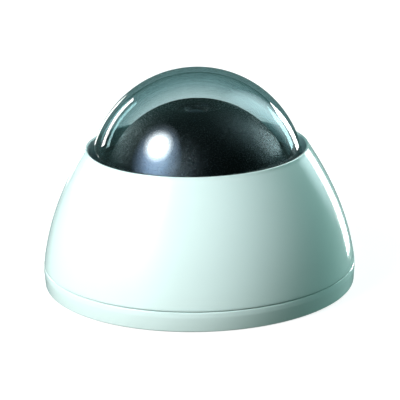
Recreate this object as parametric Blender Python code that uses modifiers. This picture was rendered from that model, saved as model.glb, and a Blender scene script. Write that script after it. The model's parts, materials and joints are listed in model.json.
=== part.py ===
"""Dome CCTV camera: a round ceiling camera with a twist-off cover, a clear dome and a
three-axis ball head. The origin is the middle of the mounting face, and +Z runs out
through the dome. Lengths in this file are millimetres, and MM scales them to metres
where meshes and places are made. A turned outline is a list of (radius, height)."""

from math import asin
from math import cos
from math import pi
from math import radians
from math import sin
from math import sqrt

import bmesh
import bpy
from mathutils import Matrix
from mathutils import Vector

MM = 0.001

# Housing: the outer wall follows a parabola from the seam up to the rim.
SEAM_RADIUS = 55.35
COVER_BOTTOM = 7.35
RIM_HEIGHT = 48.5
WALL_SLOPE = 5.19
WALL_CURVE = 10.69
WALL = 2.0
LIP_RADIUS = 38.4
LIP_TOP = 49.0
COLLAR_BOTTOM = 42.9
COLLAR_OUTER = 39.9

# Base
BAND_TOP = 7.0
BAND_INNER = 53.2
BASE_RADIUS = 55.45
FLOOR = 2.0
SPIGOT_INNER = 49.0
SPIGOT_OUTER = 50.4
SPIGOT_TOP = 12.0
HUB_BORE = 8.3
HUB_RADIUS = 12.0
HUB_TOP = 8.7
FIXING_RING = 43.5
FIXING_ANGLES = (30, 150, 270)
INLET_PLACE = 39.5
INLET_HOLE = 6.5

# Twist lock between base and cover
LUG_ANGLES = (90, 210, 330)
LOCK_TWIST = 15

# Clear dome
DOME_RADIUS = 37.98
DOME_HEIGHT = 38.41
DOME_WALL = 1.8
FLANGE_RADIUS = 39.5
FLANGE_TOP = 41.7
FLANGE_BOTTOM = 40.1
CLAMP_SCREW_RING = 41.9
CLAMP_ANGLES = (30, 150, 270)

# Ball head: the tilt axis crosses the dome's axis at the centre of the ball.
BALL_RADIUS = 33.95
BALL_WALL = 1.6
TILT_HEIGHT = 31.31
SKIRT_HEIGHT = 26.0
RECESS_OUTER = 10.2
RECESS_FLOOR = 62.4
BALL_HOLE = 6.75
BALL_SCREW_RING = 24.6
BALL_SCREW_ANGLES = (90, 210, 330)
YOKE_INNER = 26.5
YOKE_THICK = 2.5
FRAME_LOW = 44.0
FRAME_HIGH = 46.0
FRAME_BORE = 14.3
LUG_INNER = 23.4
LUG_THICK = 2.8
PIVOT_HOLE = 1.8

# Camera boards
BOARD_SIDE = 28.0
BOARD_THICK = 1.2
BOARD_HOLE_PITCH = 10.6
SENSOR_BOARD_LOW = 35.5
PROCESSOR_BOARD_LOW = 28.5

# Power board
POWER_BOARD_LOW = 3.0
POWER_BOARD_THICK = 1.4
POWER_BOARD_TOP = POWER_BOARD_LOW + POWER_BOARD_THICK
COMPONENT_SEAT = POWER_BOARD_TOP + 0.3
COMPONENT_RING = 41.3
BOARD_SCREW_RING = 30.0
BOARD_SCREW_ANGLES = (0, 120, 240)

GAP = 0.3
FINE_STEPS = 40
ROUND_STEPS = 30
SMALL_STEPS = 16
SCREW_STEPS = 10
SHARP_ANGLE = radians(35)

# Colour, roughness, metallic
WHITE_PLASTIC = ("white_plastic", (0.82, 0.87, 0.86), 0.25, 0.0)
CLEAR_PLASTIC = ("clear_plastic", (0.62, 0.70, 0.71), 0.05, 0.0)
BLACK_PLASTIC = ("black_plastic", (0.012, 0.014, 0.014), 0.55, 0.0)
GREY_PLASTIC = ("grey_plastic", (0.18, 0.19, 0.20), 0.5, 0.0)
BLACK_RUBBER = ("black_rubber", (0.02, 0.02, 0.02), 0.85, 0.0)
STEEL = ("steel", (0.62, 0.62, 0.60), 0.3, 1.0)
BRASS = ("brass", (0.78, 0.58, 0.28), 0.3, 1.0)
ALUMINIUM = ("aluminium", (0.75, 0.76, 0.77), 0.35, 1.0)
BOARD_GREEN = ("board_green", (0.02, 0.16, 0.07), 0.4, 0.0)
CHIP_BLACK = ("chip_black", (0.03, 0.03, 0.03), 0.45, 0.0)
TERMINAL_GREEN = ("terminal_green", (0.05, 0.35, 0.18), 0.5, 0.0)
SWITCH_BLUE = ("switch_blue", (0.04, 0.12, 0.42), 0.5, 0.0)
SENSOR_GLASS = ("sensor_glass", (0.05, 0.06, 0.09), 0.1, 0.2)
LENS_GLASS = ("lens_glass", (0.03, 0.035, 0.06), 0.03, 0.0)


def clear_scene():
    for obj in list(bpy.data.objects):
        bpy.data.objects.remove(obj, do_unlink=True)


def new_collection(name):
    collection = bpy.data.collections.new(name)
    bpy.context.scene.collection.children.link(collection)
    return collection


def material(paint):
    name, colour, roughness, metallic = paint
    found = bpy.data.materials.get(name)
    if found:
        return found
    made = bpy.data.materials.new(name)
    made.use_nodes = True
    shader = made.node_tree.nodes["Principled BSDF"]
    shader.inputs["Base Color"].default_value = (*colour, 1.0)
    shader.inputs["Roughness"].default_value = roughness
    shader.inputs["Metallic"].default_value = metallic
    made.diffuse_color = (*colour, 1.0)
    return made


def polar(radius, degrees, height):
    angle = radians(degrees)
    return (radius * cos(angle), radius * sin(angle), height)


def world_place(group):
    """Where an empty stands, added up along its parents, none of which is turned."""
    place = Vector()
    while group:
        place += group.location
        group = group.parent
    return place


def axis_empty(name, parent, height=0.0):
    empty = bpy.data.objects.new(name, None)
    parts.objects.link(empty)
    empty.empty_display_size = 10 * MM
    empty.parent = parent
    empty.location = Vector((0, 0, height * MM)) - world_place(parent)
    return empty


def shade(mesh):
    mesh.shade_smooth()
    mesh.set_sharp_from_angle(angle=SHARP_ANGLE)


def add_part(name, mesh, paint, group, at=(0, 0, 0), turn=(0, 0, 0)):
    mesh.materials.append(material(paint))
    obj = bpy.data.objects.new(name, mesh)
    parts.objects.link(obj)
    obj.parent = group
    obj.location = Vector(at) * MM - world_place(group)
    obj.rotation_euler = [radians(degrees) for degrees in turn]
    return obj


def add_cutter(name, mesh):
    obj = bpy.data.objects.new(name, mesh)
    cutters.objects.link(obj)
    obj.hide_render = True
    obj.display_type = "WIRE"
    return obj


def outline_mesh(name, outline, closed):
    points = [(radius * MM, 0, height * MM) for radius, height in outline]
    edges = [(i, i + 1) for i in range(len(points) - 1)]
    if closed:
        edges.append((len(points) - 1, 0))
    mesh = bpy.data.meshes.new(name)
    mesh.from_pydata(points, edges, [])
    return mesh


def spin(obj, steps):
    turn = obj.modifiers.new("turn", "SCREW")
    turn.steps = steps
    turn.render_steps = steps
    turn.use_merge_vertices = True
    turn.merge_threshold = 0.00001
    turn.use_smooth_shade = True
    return obj


def turned(name, outline, paint, group, steps=ROUND_STEPS, at=(0, 0, 0), turn=(0, 0, 0)):
    """A ring when the outline stays off the axis, and a solid when it starts and ends on it."""
    closed = outline[0][0] > 0
    obj = add_part(name, outline_mesh(name, outline, closed), paint, group, at, turn)
    return spin(obj, steps)


def prism(bm, outline, depth, place):
    """Extrude a flat outline along its local Z by depth, then put it in place."""
    corners = [bm.verts.new(place @ (Vector((x, y, 0)) * MM)) for x, y in outline]
    face = bm.faces.new(corners)
    extruded = bmesh.ops.extrude_face_region(bm, geom=[face])
    moved = [item for item in extruded["geom"] if isinstance(item, bmesh.types.BMVert)]
    step = place.to_3x3() @ Vector((0, 0, depth * MM))
    bmesh.ops.translate(bm, verts=moved, vec=step)
    bmesh.ops.recalc_face_normals(bm, faces=bm.faces)


def mesh_from(bm, name):
    mesh = bpy.data.meshes.new(name)
    bm.to_mesh(mesh)
    bm.free()
    shade(mesh)
    return mesh


def block(bm, centre, size, turn=0.0):
    place = Matrix.Translation(Vector(centre) * MM) @ Matrix.Rotation(radians(turn), 4, "Z")
    scale = Matrix.Diagonal((*(Vector(size) * MM), 1))
    bmesh.ops.create_cube(bm, size=1, matrix=place @ scale)


def rod(bm, centre, radius, depth, axis="Z", segments=SMALL_STEPS):
    place = Matrix.Translation(Vector(centre) * MM)
    if axis == "X":
        place = place @ Matrix.Rotation(pi / 2, 4, "Y")
    bmesh.ops.create_cone(
        bm,
        cap_ends=True,
        segments=segments,
        radius1=radius * MM,
        radius2=radius * MM,
        depth=depth * MM,
        matrix=place,
    )


def boolean(obj, helper, operation):
    change = obj.modifiers.new(helper.name, "BOOLEAN")
    change.operation = operation
    change.solver = "EXACT"
    change.object = helper


def cut(obj, bm, label):
    boolean(obj, add_cutter(f"{obj.name}_{label}", mesh_from(bm, label)), "DIFFERENCE")


def fuse(obj, bm, label):
    boolean(obj, add_cutter(f"{obj.name}_{label}", mesh_from(bm, label)), "UNION")


def soften(obj, width):
    edge = obj.modifiers.new("soft_edges", "BEVEL")
    edge.width = width * MM
    edge.segments = 1
    edge.limit_method = "ANGLE"
    edge.angle_limit = SHARP_ANGLE


def box_part(name, size, paint, group, at, turn=0.0, edge=0.2):
    bm = bmesh.new()
    block(bm, (0, 0, 0), size)
    obj = add_part(name, mesh_from(bm, name), paint, group, at, (0, 0, turn))
    soften(obj, edge)
    return obj


def screw(name, group, at, head, shaft, length, turn=(0, 0, 0), paint=STEEL):
    """A pan-head screw with a driving slot. It points along its local -Z from under its head."""
    head_radius, head_height = head
    crown = head_height * 0.3
    outline = [
        (0, head_height),
        (head_radius * 0.7, head_height),
        (head_radius, head_height - crown),
        (head_radius, 0),
        (shaft, 0),
        (shaft, -length + shaft * 0.5),
        (shaft * 0.5, -length),
        (0, -length),
    ]
    obj = turned(name, outline, paint, group, SCREW_STEPS, at, turn)
    slot = bmesh.new()
    block(slot, (0, 0, head_height), (head_radius * 3, head_radius * 0.3, head_height * 0.8))
    mesh = mesh_from(slot, "slot")
    cutter = add_cutter(f"{name}_slot", mesh)
    cutter.parent = obj
    boolean(obj, cutter, "DIFFERENCE")
    return obj


def arc(centre_height, radius, start, end, count):
    """Points of a circle round (0, centre_height), from one angle above level to another."""
    step = (end - start) / (count - 1)
    angles = [start + step * i for i in range(count)]
    return [(radius * cos(a), centre_height + radius * sin(a)) for a in angles]


def level_angle(radius, height):
    return asin(height / radius)


def wall_radius(height):
    share = (height - COVER_BOTTOM) / (RIM_HEIGHT - COVER_BOTTOM)
    return SEAM_RADIUS - WALL_SLOPE * share - WALL_CURVE * share**2


def inner_wall_radius(height):
    """The outer wall moved in by the wall's thickness, measured square to the surface."""
    slope = (wall_radius(height + 0.5) - wall_radius(height - 0.5)) / 1.0
    return wall_radius(height) - WALL * sqrt(1 + slope**2)


# ---------------------------------------------------------------- base


def base_plate(group):
    outline = [
        (BAND_INNER, BAND_TOP),
        (54.9, BAND_TOP),
        (55.3, 6.6),
        (BASE_RADIUS, 5.2),
        (55.1, 1.4),
        (54.6, 0.4),
        (53.7, 0.0),
        (11.0, 0.0),
        (11.0, FLOOR),
        (HUB_BORE, FLOOR),
        (HUB_BORE, HUB_TOP),
        (HUB_RADIUS, HUB_TOP),
        (HUB_RADIUS, FLOOR),
        (SPIGOT_INNER, FLOOR),
        (SPIGOT_INNER, SPIGOT_TOP),
        (SPIGOT_OUTER, SPIGOT_TOP),
        (SPIGOT_OUTER, 4.6),
        (BAND_INNER, 4.6),
    ]
    obj = turned("base_plate", outline, WHITE_PLASTIC, group, FINE_STEPS)
    lugs = bmesh.new()
    for angle in LUG_ANGLES:
        block(lugs, polar(50.55, angle, 10.4), (1.9, 12.0, 2.0), angle)
    fuse(obj, lugs, "twist_lugs")
    posts = bmesh.new()
    for angle in BOARD_SCREW_ANGLES:
        rod(posts, polar(BOARD_SCREW_RING, angle, 1.85), 3.0, 1.7)
    fuse(obj, posts, "board_posts")
    holes = bmesh.new()
    for angle in BOARD_SCREW_ANGLES:
        rod(holes, polar(BOARD_SCREW_RING, angle, 2.1), 1.4, 2.6, segments=SCREW_STEPS)
    for angle in FIXING_ANGLES:
        rod(holes, polar(FIXING_RING, angle, 1.0), 2.3, 4.0, segments=16)
    rod(holes, polar(INLET_PLACE, 90, 1.0), INLET_HOLE, 4.0)
    cut(obj, holes, "holes")
    return obj


def cable_grommet(group):
    outline = [
        (3.7, 4.0),
        (7.0, 4.0),
        (8.0, 3.4),
        (8.0, FLOOR + GAP),
        (INLET_HOLE - GAP, FLOOR + GAP),
        (INLET_HOLE - GAP, 0.2),
        (3.7, 0.2),
    ]
    place = polar(INLET_PLACE, 90, 0)
    return turned("cable_grommet", outline, BLACK_RUBBER, group, SMALL_STEPS, place)


def power_board(group):
    outline = [
        (14.5, POWER_BOARD_TOP),
        (47.5, POWER_BOARD_TOP),
        (47.5, POWER_BOARD_LOW),
        (14.5, POWER_BOARD_LOW),
    ]
    obj = turned("power_board", outline, BOARD_GREEN, group)
    middle = POWER_BOARD_LOW + POWER_BOARD_THICK / 2
    holes = bmesh.new()
    for angle in FIXING_ANGLES:
        rod(holes, polar(FIXING_RING, angle, middle), 4.6, 4.0, segments=16)
    for angle in BOARD_SCREW_ANGLES:
        rod(holes, polar(BOARD_SCREW_RING, angle, middle), 1.5, 4.0, segments=SCREW_STEPS)
    rod(holes, polar(INLET_PLACE, 90, middle), 9.0, 4.0)
    cut(obj, holes, "holes")
    for number, angle in enumerate(BOARD_SCREW_ANGLES, 1):
        place = polar(BOARD_SCREW_RING, angle, COMPONENT_SEAT)
        screw(f"board_screw_{number}", group, place, (2.4, 1.4), 1.1, 3.4)
    return obj


def terminal_block(group):
    angle = 60
    x, y, _ = polar(COMPONENT_RING, angle, 0)
    size = (8.0, 12.0, 8.4)
    centre = (x, y, COMPONENT_SEAT + size[2] / 2)
    obj = box_part("terminal_block", size, TERMINAL_GREEN, group, centre, angle, 0.3)
    holes = bmesh.new()
    across = Vector((-sin(radians(angle)), cos(radians(angle)), 0))
    inward = Vector((-cos(radians(angle)), -sin(radians(angle)), 0))
    for number, side in enumerate((-3.0, 3.0), 1):
        top = Vector((x, y, COMPONENT_SEAT + size[2])) + across * side
        rod(holes, top + Vector((0, 0, -1.0)), 2.0, 5.2, segments=16)
        mouth = top + inward * 3.6 + Vector((0, 0, -5.9))
        block(holes, mouth, (5.0, 3.2, 2.6), angle)
        place = top + Vector((0, 0, -1.6))
        screw(f"terminal_screw_{number}", group, place, (1.6, 1.0), 1.0, 1.4)
    cut(obj, holes, "wire_holes")
    return obj


def video_socket(group):
    angle = 121
    x, y, _ = polar(COMPONENT_RING, angle, 0)
    size = (9.0, 11.0, 7.0)
    centre = (x, y, COMPONENT_SEAT + size[2] / 2)
    obj = box_part("video_socket", size, GREY_PLASTIC, group, centre, angle, 0.3)
    pocket = bmesh.new()
    block(pocket, (x, y, COMPONENT_SEAT + size[2]), (6.2, 8.4, 9.0), angle)
    cut(obj, pocket, "pocket")
    return obj


def board_components(group):
    switch = box_part(
        "switch_block",
        (6.0, 10.0, 3.6),
        SWITCH_BLUE,
        group,
        polar(COMPONENT_RING, 206, COMPONENT_SEAT + 1.8),
        206,
    )
    windows = bmesh.new()
    across = Vector((-sin(radians(206)), cos(radians(206)), 0))
    middle = Vector(polar(COMPONENT_RING, 206, COMPONENT_SEAT + 3.6))
    for side in (-3.6, -1.2, 1.2, 3.6):
        block(windows, middle + across * side, (3.0, 1.1, 1.6), 206)
    cut(switch, windows, "windows")
    box_part(
        "regulator",
        (7.0, 7.0, 2.2),
        CHIP_BLACK,
        group,
        polar(COMPONENT_RING, 242, COMPONENT_SEAT + 1.1),
        242,
    )
    for number, angle in enumerate((0, 330), 1):
        can = [(0, 11), (2.6, 11), (2.8, 10.6), (3.7, 10.6), (4.0, 10.3), (4.0, 1.6)]
        can += [(3.6, 1.2), (4.0, 0.8), (4.0, 0), (0, 0)]
        place = polar(COMPONENT_RING, angle, COMPONENT_SEAT)
        turned(f"capacitor_{number}", can, CHIP_BLACK, group, SMALL_STEPS, place)
    coil = [(0, 5), (4.6, 5), (5.0, 4.6), (5.0, 3.8), (4.2, 3.4), (4.2, 1.4), (5.0, 1.0)]
    coil += [(5.0, 0), (0, 0)]
    place = polar(COMPONENT_RING, 178, COMPONENT_SEAT)
    turned("inductor", coil, GREY_PLASTIC, group, SMALL_STEPS, place)


# ---------------------------------------------------------------- seal and cover


def seam_seal(group):
    outline = [(51.0, 6.6), (51.3, 6.9), (52.6, 6.9), (52.9, 6.6), (52.9, 4.9), (51.0, 4.9)]
    return turned("seam_seal", outline, BLACK_RUBBER, group, FINE_STEPS)


def cover_shell(group):
    levels = 9
    step = (RIM_HEIGHT - COVER_BOTTOM) / (levels - 1)
    heights = [RIM_HEIGHT - step * i for i in range(levels)]
    outline = [(LIP_RADIUS, COLLAR_BOTTOM), (LIP_RADIUS, LIP_TOP - 0.45)]
    outline += [(LIP_RADIUS + 0.15, LIP_TOP - 0.12), (LIP_RADIUS + 0.5, LIP_TOP)]
    outline += [(LIP_RADIUS + 0.9, LIP_TOP - 0.12)]
    outline += [(wall_radius(height), height) for height in heights]
    inner_top = 43.95
    inner_levels = 8
    step = (inner_top - COVER_BOTTOM) / (inner_levels - 1)
    heights = [COVER_BOTTOM + step * i for i in range(inner_levels - 1)]
    outline += [(inner_wall_radius(height), height) for height in heights]
    outline += [(COLLAR_OUTER, inner_top), (COLLAR_OUTER, COLLAR_BOTTOM)]
    obj = turned("cover_shell", outline, WHITE_PLASTIC, group, FINE_STEPS)
    lugs = bmesh.new()
    for angle in LUG_ANGLES:
        block(lugs, polar(52.45, angle - LOCK_TWIST, 8.35), (3.1, 10.0, 1.5), angle - LOCK_TWIST)
    fuse(obj, lugs, "twist_lugs")
    bosses = bmesh.new()
    for angle in CLAMP_ANGLES:
        rod(bosses, polar(CLAMP_SCREW_RING, angle, 38.25), 2.0, 4.1, segments=16)
    fuse(obj, bosses, "clamp_bosses")
    holes = bmesh.new()
    for angle in CLAMP_ANGLES:
        rod(holes, polar(CLAMP_SCREW_RING, angle, 37.8), 1.1, 4.4, segments=SCREW_STEPS)
    cut(obj, holes, "clamp_holes")
    return obj


def dome_bubble(group):
    low = level_angle(DOME_RADIUS, FLANGE_TOP - DOME_HEIGHT)
    outer = arc(DOME_HEIGHT, DOME_RADIUS, pi / 2, low, 11)
    inner_radius = DOME_RADIUS - DOME_WALL
    low = level_angle(inner_radius, FLANGE_BOTTOM - DOME_HEIGHT)
    inner = arc(DOME_HEIGHT, inner_radius, low, pi / 2, 10)
    outer[0] = (0, DOME_HEIGHT + DOME_RADIUS)
    inner[-1] = (0, DOME_HEIGHT + inner_radius)
    flange = [(FLANGE_RADIUS, FLANGE_TOP), (FLANGE_RADIUS, FLANGE_BOTTOM)]
    return turned("dome_bubble", outer + flange + inner, CLEAR_PLASTIC, group)


def dome_gasket(group):
    outline = [
        (LIP_RADIUS + 0.1, COLLAR_BOTTOM - GAP),
        (FLANGE_RADIUS, COLLAR_BOTTOM - GAP),
        (FLANGE_RADIUS, FLANGE_TOP + GAP),
        (LIP_RADIUS + 0.1, FLANGE_TOP + GAP),
    ]
    return turned("dome_gasket", outline, BLACK_RUBBER, group)


def dome_clamp_ring(group):
    low = 34.4
    high = 35.9
    outline = [
        (37.0, FLANGE_BOTTOM - GAP),
        (39.4, FLANGE_BOTTOM - GAP),
        (39.4, high),
        (43.7, high),
        (43.7, low),
        (37.0, low),
    ]
    obj = turned("dome_clamp_ring", outline, BLACK_PLASTIC, group)
    holes = bmesh.new()
    for angle in CLAMP_ANGLES:
        rod(holes, polar(CLAMP_SCREW_RING, angle, 35), 1.2, 4, segments=SCREW_STEPS)
    cut(obj, holes, "screw_holes")
    for number, angle in enumerate(CLAMP_ANGLES, 1):
        place = polar(CLAMP_SCREW_RING, angle, low - GAP)
        screw(f"clamp_screw_{number}", group, place, (1.9, 1.3), 0.8, 4.4, (180, 0, 0))
    return obj


# ---------------------------------------------------------------- turntable


def arm_outline(half_width, low, radius):
    """An upright arm: straight sides from low up to a round end about the tilt axis."""
    points = [(-half_width, low), (half_width, low)]
    count = 9
    for i in range(count):
        angle = pi * i / (count - 1)
        points.append((radius * cos(angle), TILT_HEIGHT + radius * sin(angle)))
    return points


def upright(bm, outline, inner_x, thick, side):
    """A plate in the YZ plane, from inner_x outward on one side of the axis."""
    stand = Matrix(((0, 0, 1, 0), (1, 0, 0, 0), (0, 1, 0, 0), (0, 0, 0, 1)))
    start = inner_x if side > 0 else -inner_x - thick
    prism(bm, outline, thick, Matrix.Translation((start * MM, 0, 0)) @ stand)


def pan_turntable(group):
    outline = [
        (5.5, 11.0),
        (20.0, 11.0),
        (20.0, 9.0),
        (8.0, 9.0),
        (8.0, FLOOR - 0.1),
        (7.0, FLOOR - 0.1),
        (7.0, 0.5),
        (5.5, 0.5),
    ]
    obj = turned("pan_turntable", outline, GREY_PLASTIC, group)
    bar = bmesh.new()
    for side in (-1, 1):
        block(bar, (side * 18.95, 0, 10.3), (20.0, 15.0, 2.2))
    fuse(obj, bar, "bar")
    arms = bmesh.new()
    for side in (-1, 1):
        upright(arms, arm_outline(6.0, 9.6, 5.0), YOKE_INNER, YOKE_THICK, side)
    fuse(obj, arms, "arms")
    holes = bmesh.new()
    for side in (-1, 1):
        middle = side * (YOKE_INNER + YOKE_THICK / 2)
        rod(holes, (middle, 0, TILT_HEIGHT), PIVOT_HOLE, 6, "X", 16)
    rod(holes, (0, -10.15, 10), 1.5, 4, segments=SCREW_STEPS)
    cut(obj, holes, "holes")
    return obj


def pan_retaining_ring(group):
    outline = [(7.3, 1.6), (10.4, 1.6), (10.4, 0.8), (7.3, 0.8)]
    return turned("pan_retaining_ring", outline, STEEL, group, SMALL_STEPS)


def friction_washers(group):
    outline = [(PIVOT_HOLE, 0.5), (3.2, 0.5), (3.2, 0), (PIVOT_HOLE, 0)]
    for name, side in (("left", -1), ("right", 1)):
        start = side * (YOKE_INNER + YOKE_THICK + GAP)
        place = (start, 0, TILT_HEIGHT)
        turn = (0, 90 * side, 0)
        turned(f"friction_washer_{name}", outline, STEEL, group, SMALL_STEPS, place, turn)


def tilt_lock_screw(name, side, group):
    start = side * (YOKE_INNER + YOKE_THICK + GAP + 0.5 + GAP)
    place = (start, 0, TILT_HEIGHT)
    return screw(name, group, place, (2.6, 1.2), 1.5, 6.2, (0, 90 * side, 0))


def pan_lock_screw(group):
    return screw("pan_lock_screw", group, (0, -10.15, 11.3), (3.0, 2.2), 1.2, 2.3, paint=BRASS)


# ---------------------------------------------------------------- ball and tilt frame


def liner_ball(group):
    rim = level_angle(BALL_RADIUS, sqrt(BALL_RADIUS**2 - RECESS_OUTER**2))
    skirt = level_angle(BALL_RADIUS, SKIRT_HEIGHT - TILT_HEIGHT)
    outer = arc(TILT_HEIGHT, BALL_RADIUS, rim, skirt, 11)
    inner_radius = BALL_RADIUS - BALL_WALL
    boss_low = RECESS_FLOOR - 1.5
    start = level_angle(inner_radius, SKIRT_HEIGHT - TILT_HEIGHT)
    end = level_angle(inner_radius, boss_low - TILT_HEIGHT)
    inner = arc(TILT_HEIGHT, inner_radius, start, end, 9)
    funnel = [(BALL_HOLE, boss_low), (BALL_HOLE, RECESS_FLOOR)]
    obj = turned("liner_ball", outer + inner + funnel, BLACK_PLASTIC, group)
    posts = bmesh.new()
    for angle in BALL_SCREW_ANGLES:
        rod(posts, polar(BALL_SCREW_RING, angle, 48.85), 2.5, 5.1, segments=16)
    fuse(obj, posts, "posts")
    holes = bmesh.new()
    for angle in BALL_SCREW_ANGLES:
        rod(holes, polar(BALL_SCREW_RING, angle, 47.6), 1.1, 4.0, segments=SCREW_STEPS)
    cut(obj, holes, "post_holes")
    return obj


def tilt_frame(group):
    outline = [
        (FRAME_BORE, FRAME_HIGH),
        (27.0, FRAME_HIGH),
        (27.0, FRAME_LOW),
        (FRAME_BORE, FRAME_LOW),
    ]
    obj = turned("tilt_frame", outline, GREY_PLASTIC, group)
    lugs = bmesh.new()
    hanging = [(y, 2 * TILT_HEIGHT - z) for y, z in arm_outline(4.0, 17.4, 4.0)]
    for side in (-1, 1):
        upright(lugs, hanging, LUG_INNER, LUG_THICK, side)
    fuse(obj, lugs, "lugs")
    holes = bmesh.new()
    for side in (-1, 1):
        rod(holes, (side * (LUG_INNER + LUG_THICK / 2), 0, TILT_HEIGHT), PIVOT_HOLE, 6, "X", 16)
    for angle in BALL_SCREW_ANGLES:
        rod(holes, polar(BALL_SCREW_RING, angle, 45), 1.2, 4, segments=SCREW_STEPS)
    cut(obj, holes, "holes")
    for number, angle in enumerate(BALL_SCREW_ANGLES, 1):
        place = polar(BALL_SCREW_RING, angle, FRAME_LOW - GAP)
        screw(f"ball_screw_{number}", group, place, (2.0, 1.3), 0.8, 5.2, (180, 0, 0))
    return obj


# ---------------------------------------------------------------- camera head


def head_chassis(group):
    tube = FRAME_BORE - GAP
    outline = [(9.2, 47.8), (16.5, 47.8), (16.5, FRAME_HIGH + GAP), (tube, FRAME_HIGH + GAP)]
    outline += [(tube, 38.0), (9.2, 38.0)]
    obj = turned("head_chassis", outline, ALUMINIUM, group)
    bosses = bmesh.new()
    for side in (-1, 1):
        place = (side * BOARD_HOLE_PITCH, side * BOARD_HOLE_PITCH, 39.5)
        rod(bosses, place, 2.4, 5.0, segments=16)
    fuse(obj, bosses, "bosses")
    holes = bmesh.new()
    for side in (-1, 1):
        place = (side * BOARD_HOLE_PITCH, side * BOARD_HOLE_PITCH, 38.7)
        rod(holes, place, 1.1, 4.6, segments=SCREW_STEPS)
    cut(obj, holes, "boss_holes")
    return obj


def head_retaining_ring(group):
    outline = [(FRAME_BORE, 43.7), (16.9, 43.7), (16.9, 42.6), (FRAME_BORE, 42.6)]
    return turned("head_retaining_ring", outline, STEEL, group)


def lens_holder(group):
    outline = [
        (6.2, 52.0),
        (8.9, 52.0),
        (8.9, 49.6),
        (10.8, 49.6),
        (10.8, 48.1),
        (8.9, 48.1),
        (8.9, 38.3),
        (6.2, 38.3),
    ]
    return turned("lens_holder", outline, BLACK_PLASTIC, group, SMALL_STEPS)


def circuit_board(name, low, group):
    centre = (0, 0, low + BOARD_THICK / 2)
    bm = bmesh.new()
    block(bm, (0, 0, 0), (BOARD_SIDE, BOARD_SIDE, BOARD_THICK))
    upright_edges = [e for e in bm.edges if abs(e.verts[0].co.z - e.verts[1].co.z) > MM / 2]
    bmesh.ops.bevel(bm, geom=upright_edges, offset=2 * MM, segments=2, affect="EDGES")
    return add_part(name, mesh_from(bm, name), BOARD_GREEN, group, centre)


def sensor_stack(group):
    sensor_board = circuit_board("sensor_board", SENSOR_BOARD_LOW, group)
    holes = bmesh.new()
    for side in (-1, 1):
        place = (side * BOARD_HOLE_PITCH, side * BOARD_HOLE_PITCH, SENSOR_BOARD_LOW)
        rod(holes, place, 1.3, 6, segments=SCREW_STEPS)
    cut(sensor_board, holes, "screw_holes")
    circuit_board("processor_board", PROCESSOR_BOARD_LOW, group)
    for number, side in enumerate((-1, 1), 1):
        place = (side * BOARD_HOLE_PITCH, side * BOARD_HOLE_PITCH, SENSOR_BOARD_LOW - GAP)
        screw(f"sensor_screw_{number}", group, place, (1.9, 1.3), 0.8, 5.0, (180, 0, 0))
    between = SENSOR_BOARD_LOW - PROCESSOR_BOARD_LOW - BOARD_THICK - 2 * GAP
    stand = PROCESSOR_BOARD_LOW + BOARD_THICK + GAP
    post = [(0, between), (2.2, between), (2.2, 0), (0, 0)]
    for number, side in enumerate((-1, 1), 1):
        place = (side * BOARD_HOLE_PITCH, -side * BOARD_HOLE_PITCH, stand)
        turned(f"standoff_{number}", post, BRASS, group, 6, place)
    connector = (15.0, 3.6, between)
    box_part("board_connector", connector, CHIP_BLACK, group, (0, 8.5, stand + between / 2))
    box_part("processor_chip", (11.0, 11.0, 1.3), CHIP_BLACK, group, (0, -2.0, stand + 0.65))
    socket_top = PROCESSOR_BOARD_LOW - GAP
    size = (9.0, 4.6, 3.8)
    centre = (0, -8.0, socket_top - size[2] / 2)
    socket = box_part("lead_socket", size, WHITE_PLASTIC, group, centre)
    pocket = bmesh.new()
    block(pocket, (0, -8.0, socket_top - size[2]), (7.4, 3.0, 5.0))
    cut(socket, pocket, "pocket")
    top = SENSOR_BOARD_LOW + BOARD_THICK + GAP
    box_part("image_sensor", (9.0, 9.0, 1.0), SENSOR_GLASS, group, (0, 0, top + 0.5))


def lens_lock_ring(group):
    outline = [(6.2, 53.1), (7.9, 53.1), (7.9, 52.3), (6.2, 52.3)]
    return turned("lens_lock_ring", outline, ALUMINIUM, group, SMALL_STEPS)


# ---------------------------------------------------------------- lens


def lens_barrel(group):
    front = BALL_HOLE - GAP
    outline = [
        (3.2, RECESS_FLOOR - 0.2),
        (front, RECESS_FLOOR - 0.2),
        (front, 53.4),
        (5.9, 53.4),
        (5.9, 40.0),
        (4.6, 40.0),
        (4.6, 60.4),
        (3.2, 60.8),
    ]
    return turned("lens_barrel", outline, BLACK_PLASTIC, group, SMALL_STEPS)


def lens_glasses(group):
    front = [(0, 62.1), (1.1, 62.0), (2.1, 61.7), (2.9, 61.2), (2.9, 60.8), (0, 60.8)]
    turned("front_lens", front, LENS_GLASS, group, SMALL_STEPS)
    rear = [(0, 42.6), (4.3, 42.6), (4.3, 41.0), (2.4, 40.6), (0, 40.4)]
    turned("rear_lens", rear, LENS_GLASS, group, SMALL_STEPS)


# ---------------------------------------------------------------- assembly

clear_scene()
parts = new_collection("dome_cctv_camera")
cutters = new_collection("cutters")

base_frame = axis_empty("base_frame", None)
base_plate(base_frame)
cable_grommet(base_frame)
power_board(base_frame)
terminal_block(base_frame)
video_socket(base_frame)
board_components(base_frame)

twist_axis = axis_empty("cover_twist_axis", base_frame)
seam_seal(twist_axis)
lift_axis = axis_empty("cover_lift_axis", twist_axis)
cover_shell(lift_axis)
dome_bubble(lift_axis)
dome_gasket(lift_axis)
dome_clamp_ring(lift_axis)

pan_axis = axis_empty("pan_axis", base_frame)
pan_turntable(pan_axis)
pan_retaining_ring(pan_axis)
friction_washers(pan_axis)
tilt_lock_screw("tilt_lock_screw_left", -1, pan_axis)
tilt_lock_screw("tilt_lock_screw_right", 1, pan_axis)
pan_lock_screw(pan_axis)

tilt_axis = axis_empty("tilt_axis", pan_axis, TILT_HEIGHT)
liner_ball(tilt_axis)
tilt_frame(tilt_axis)

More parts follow.
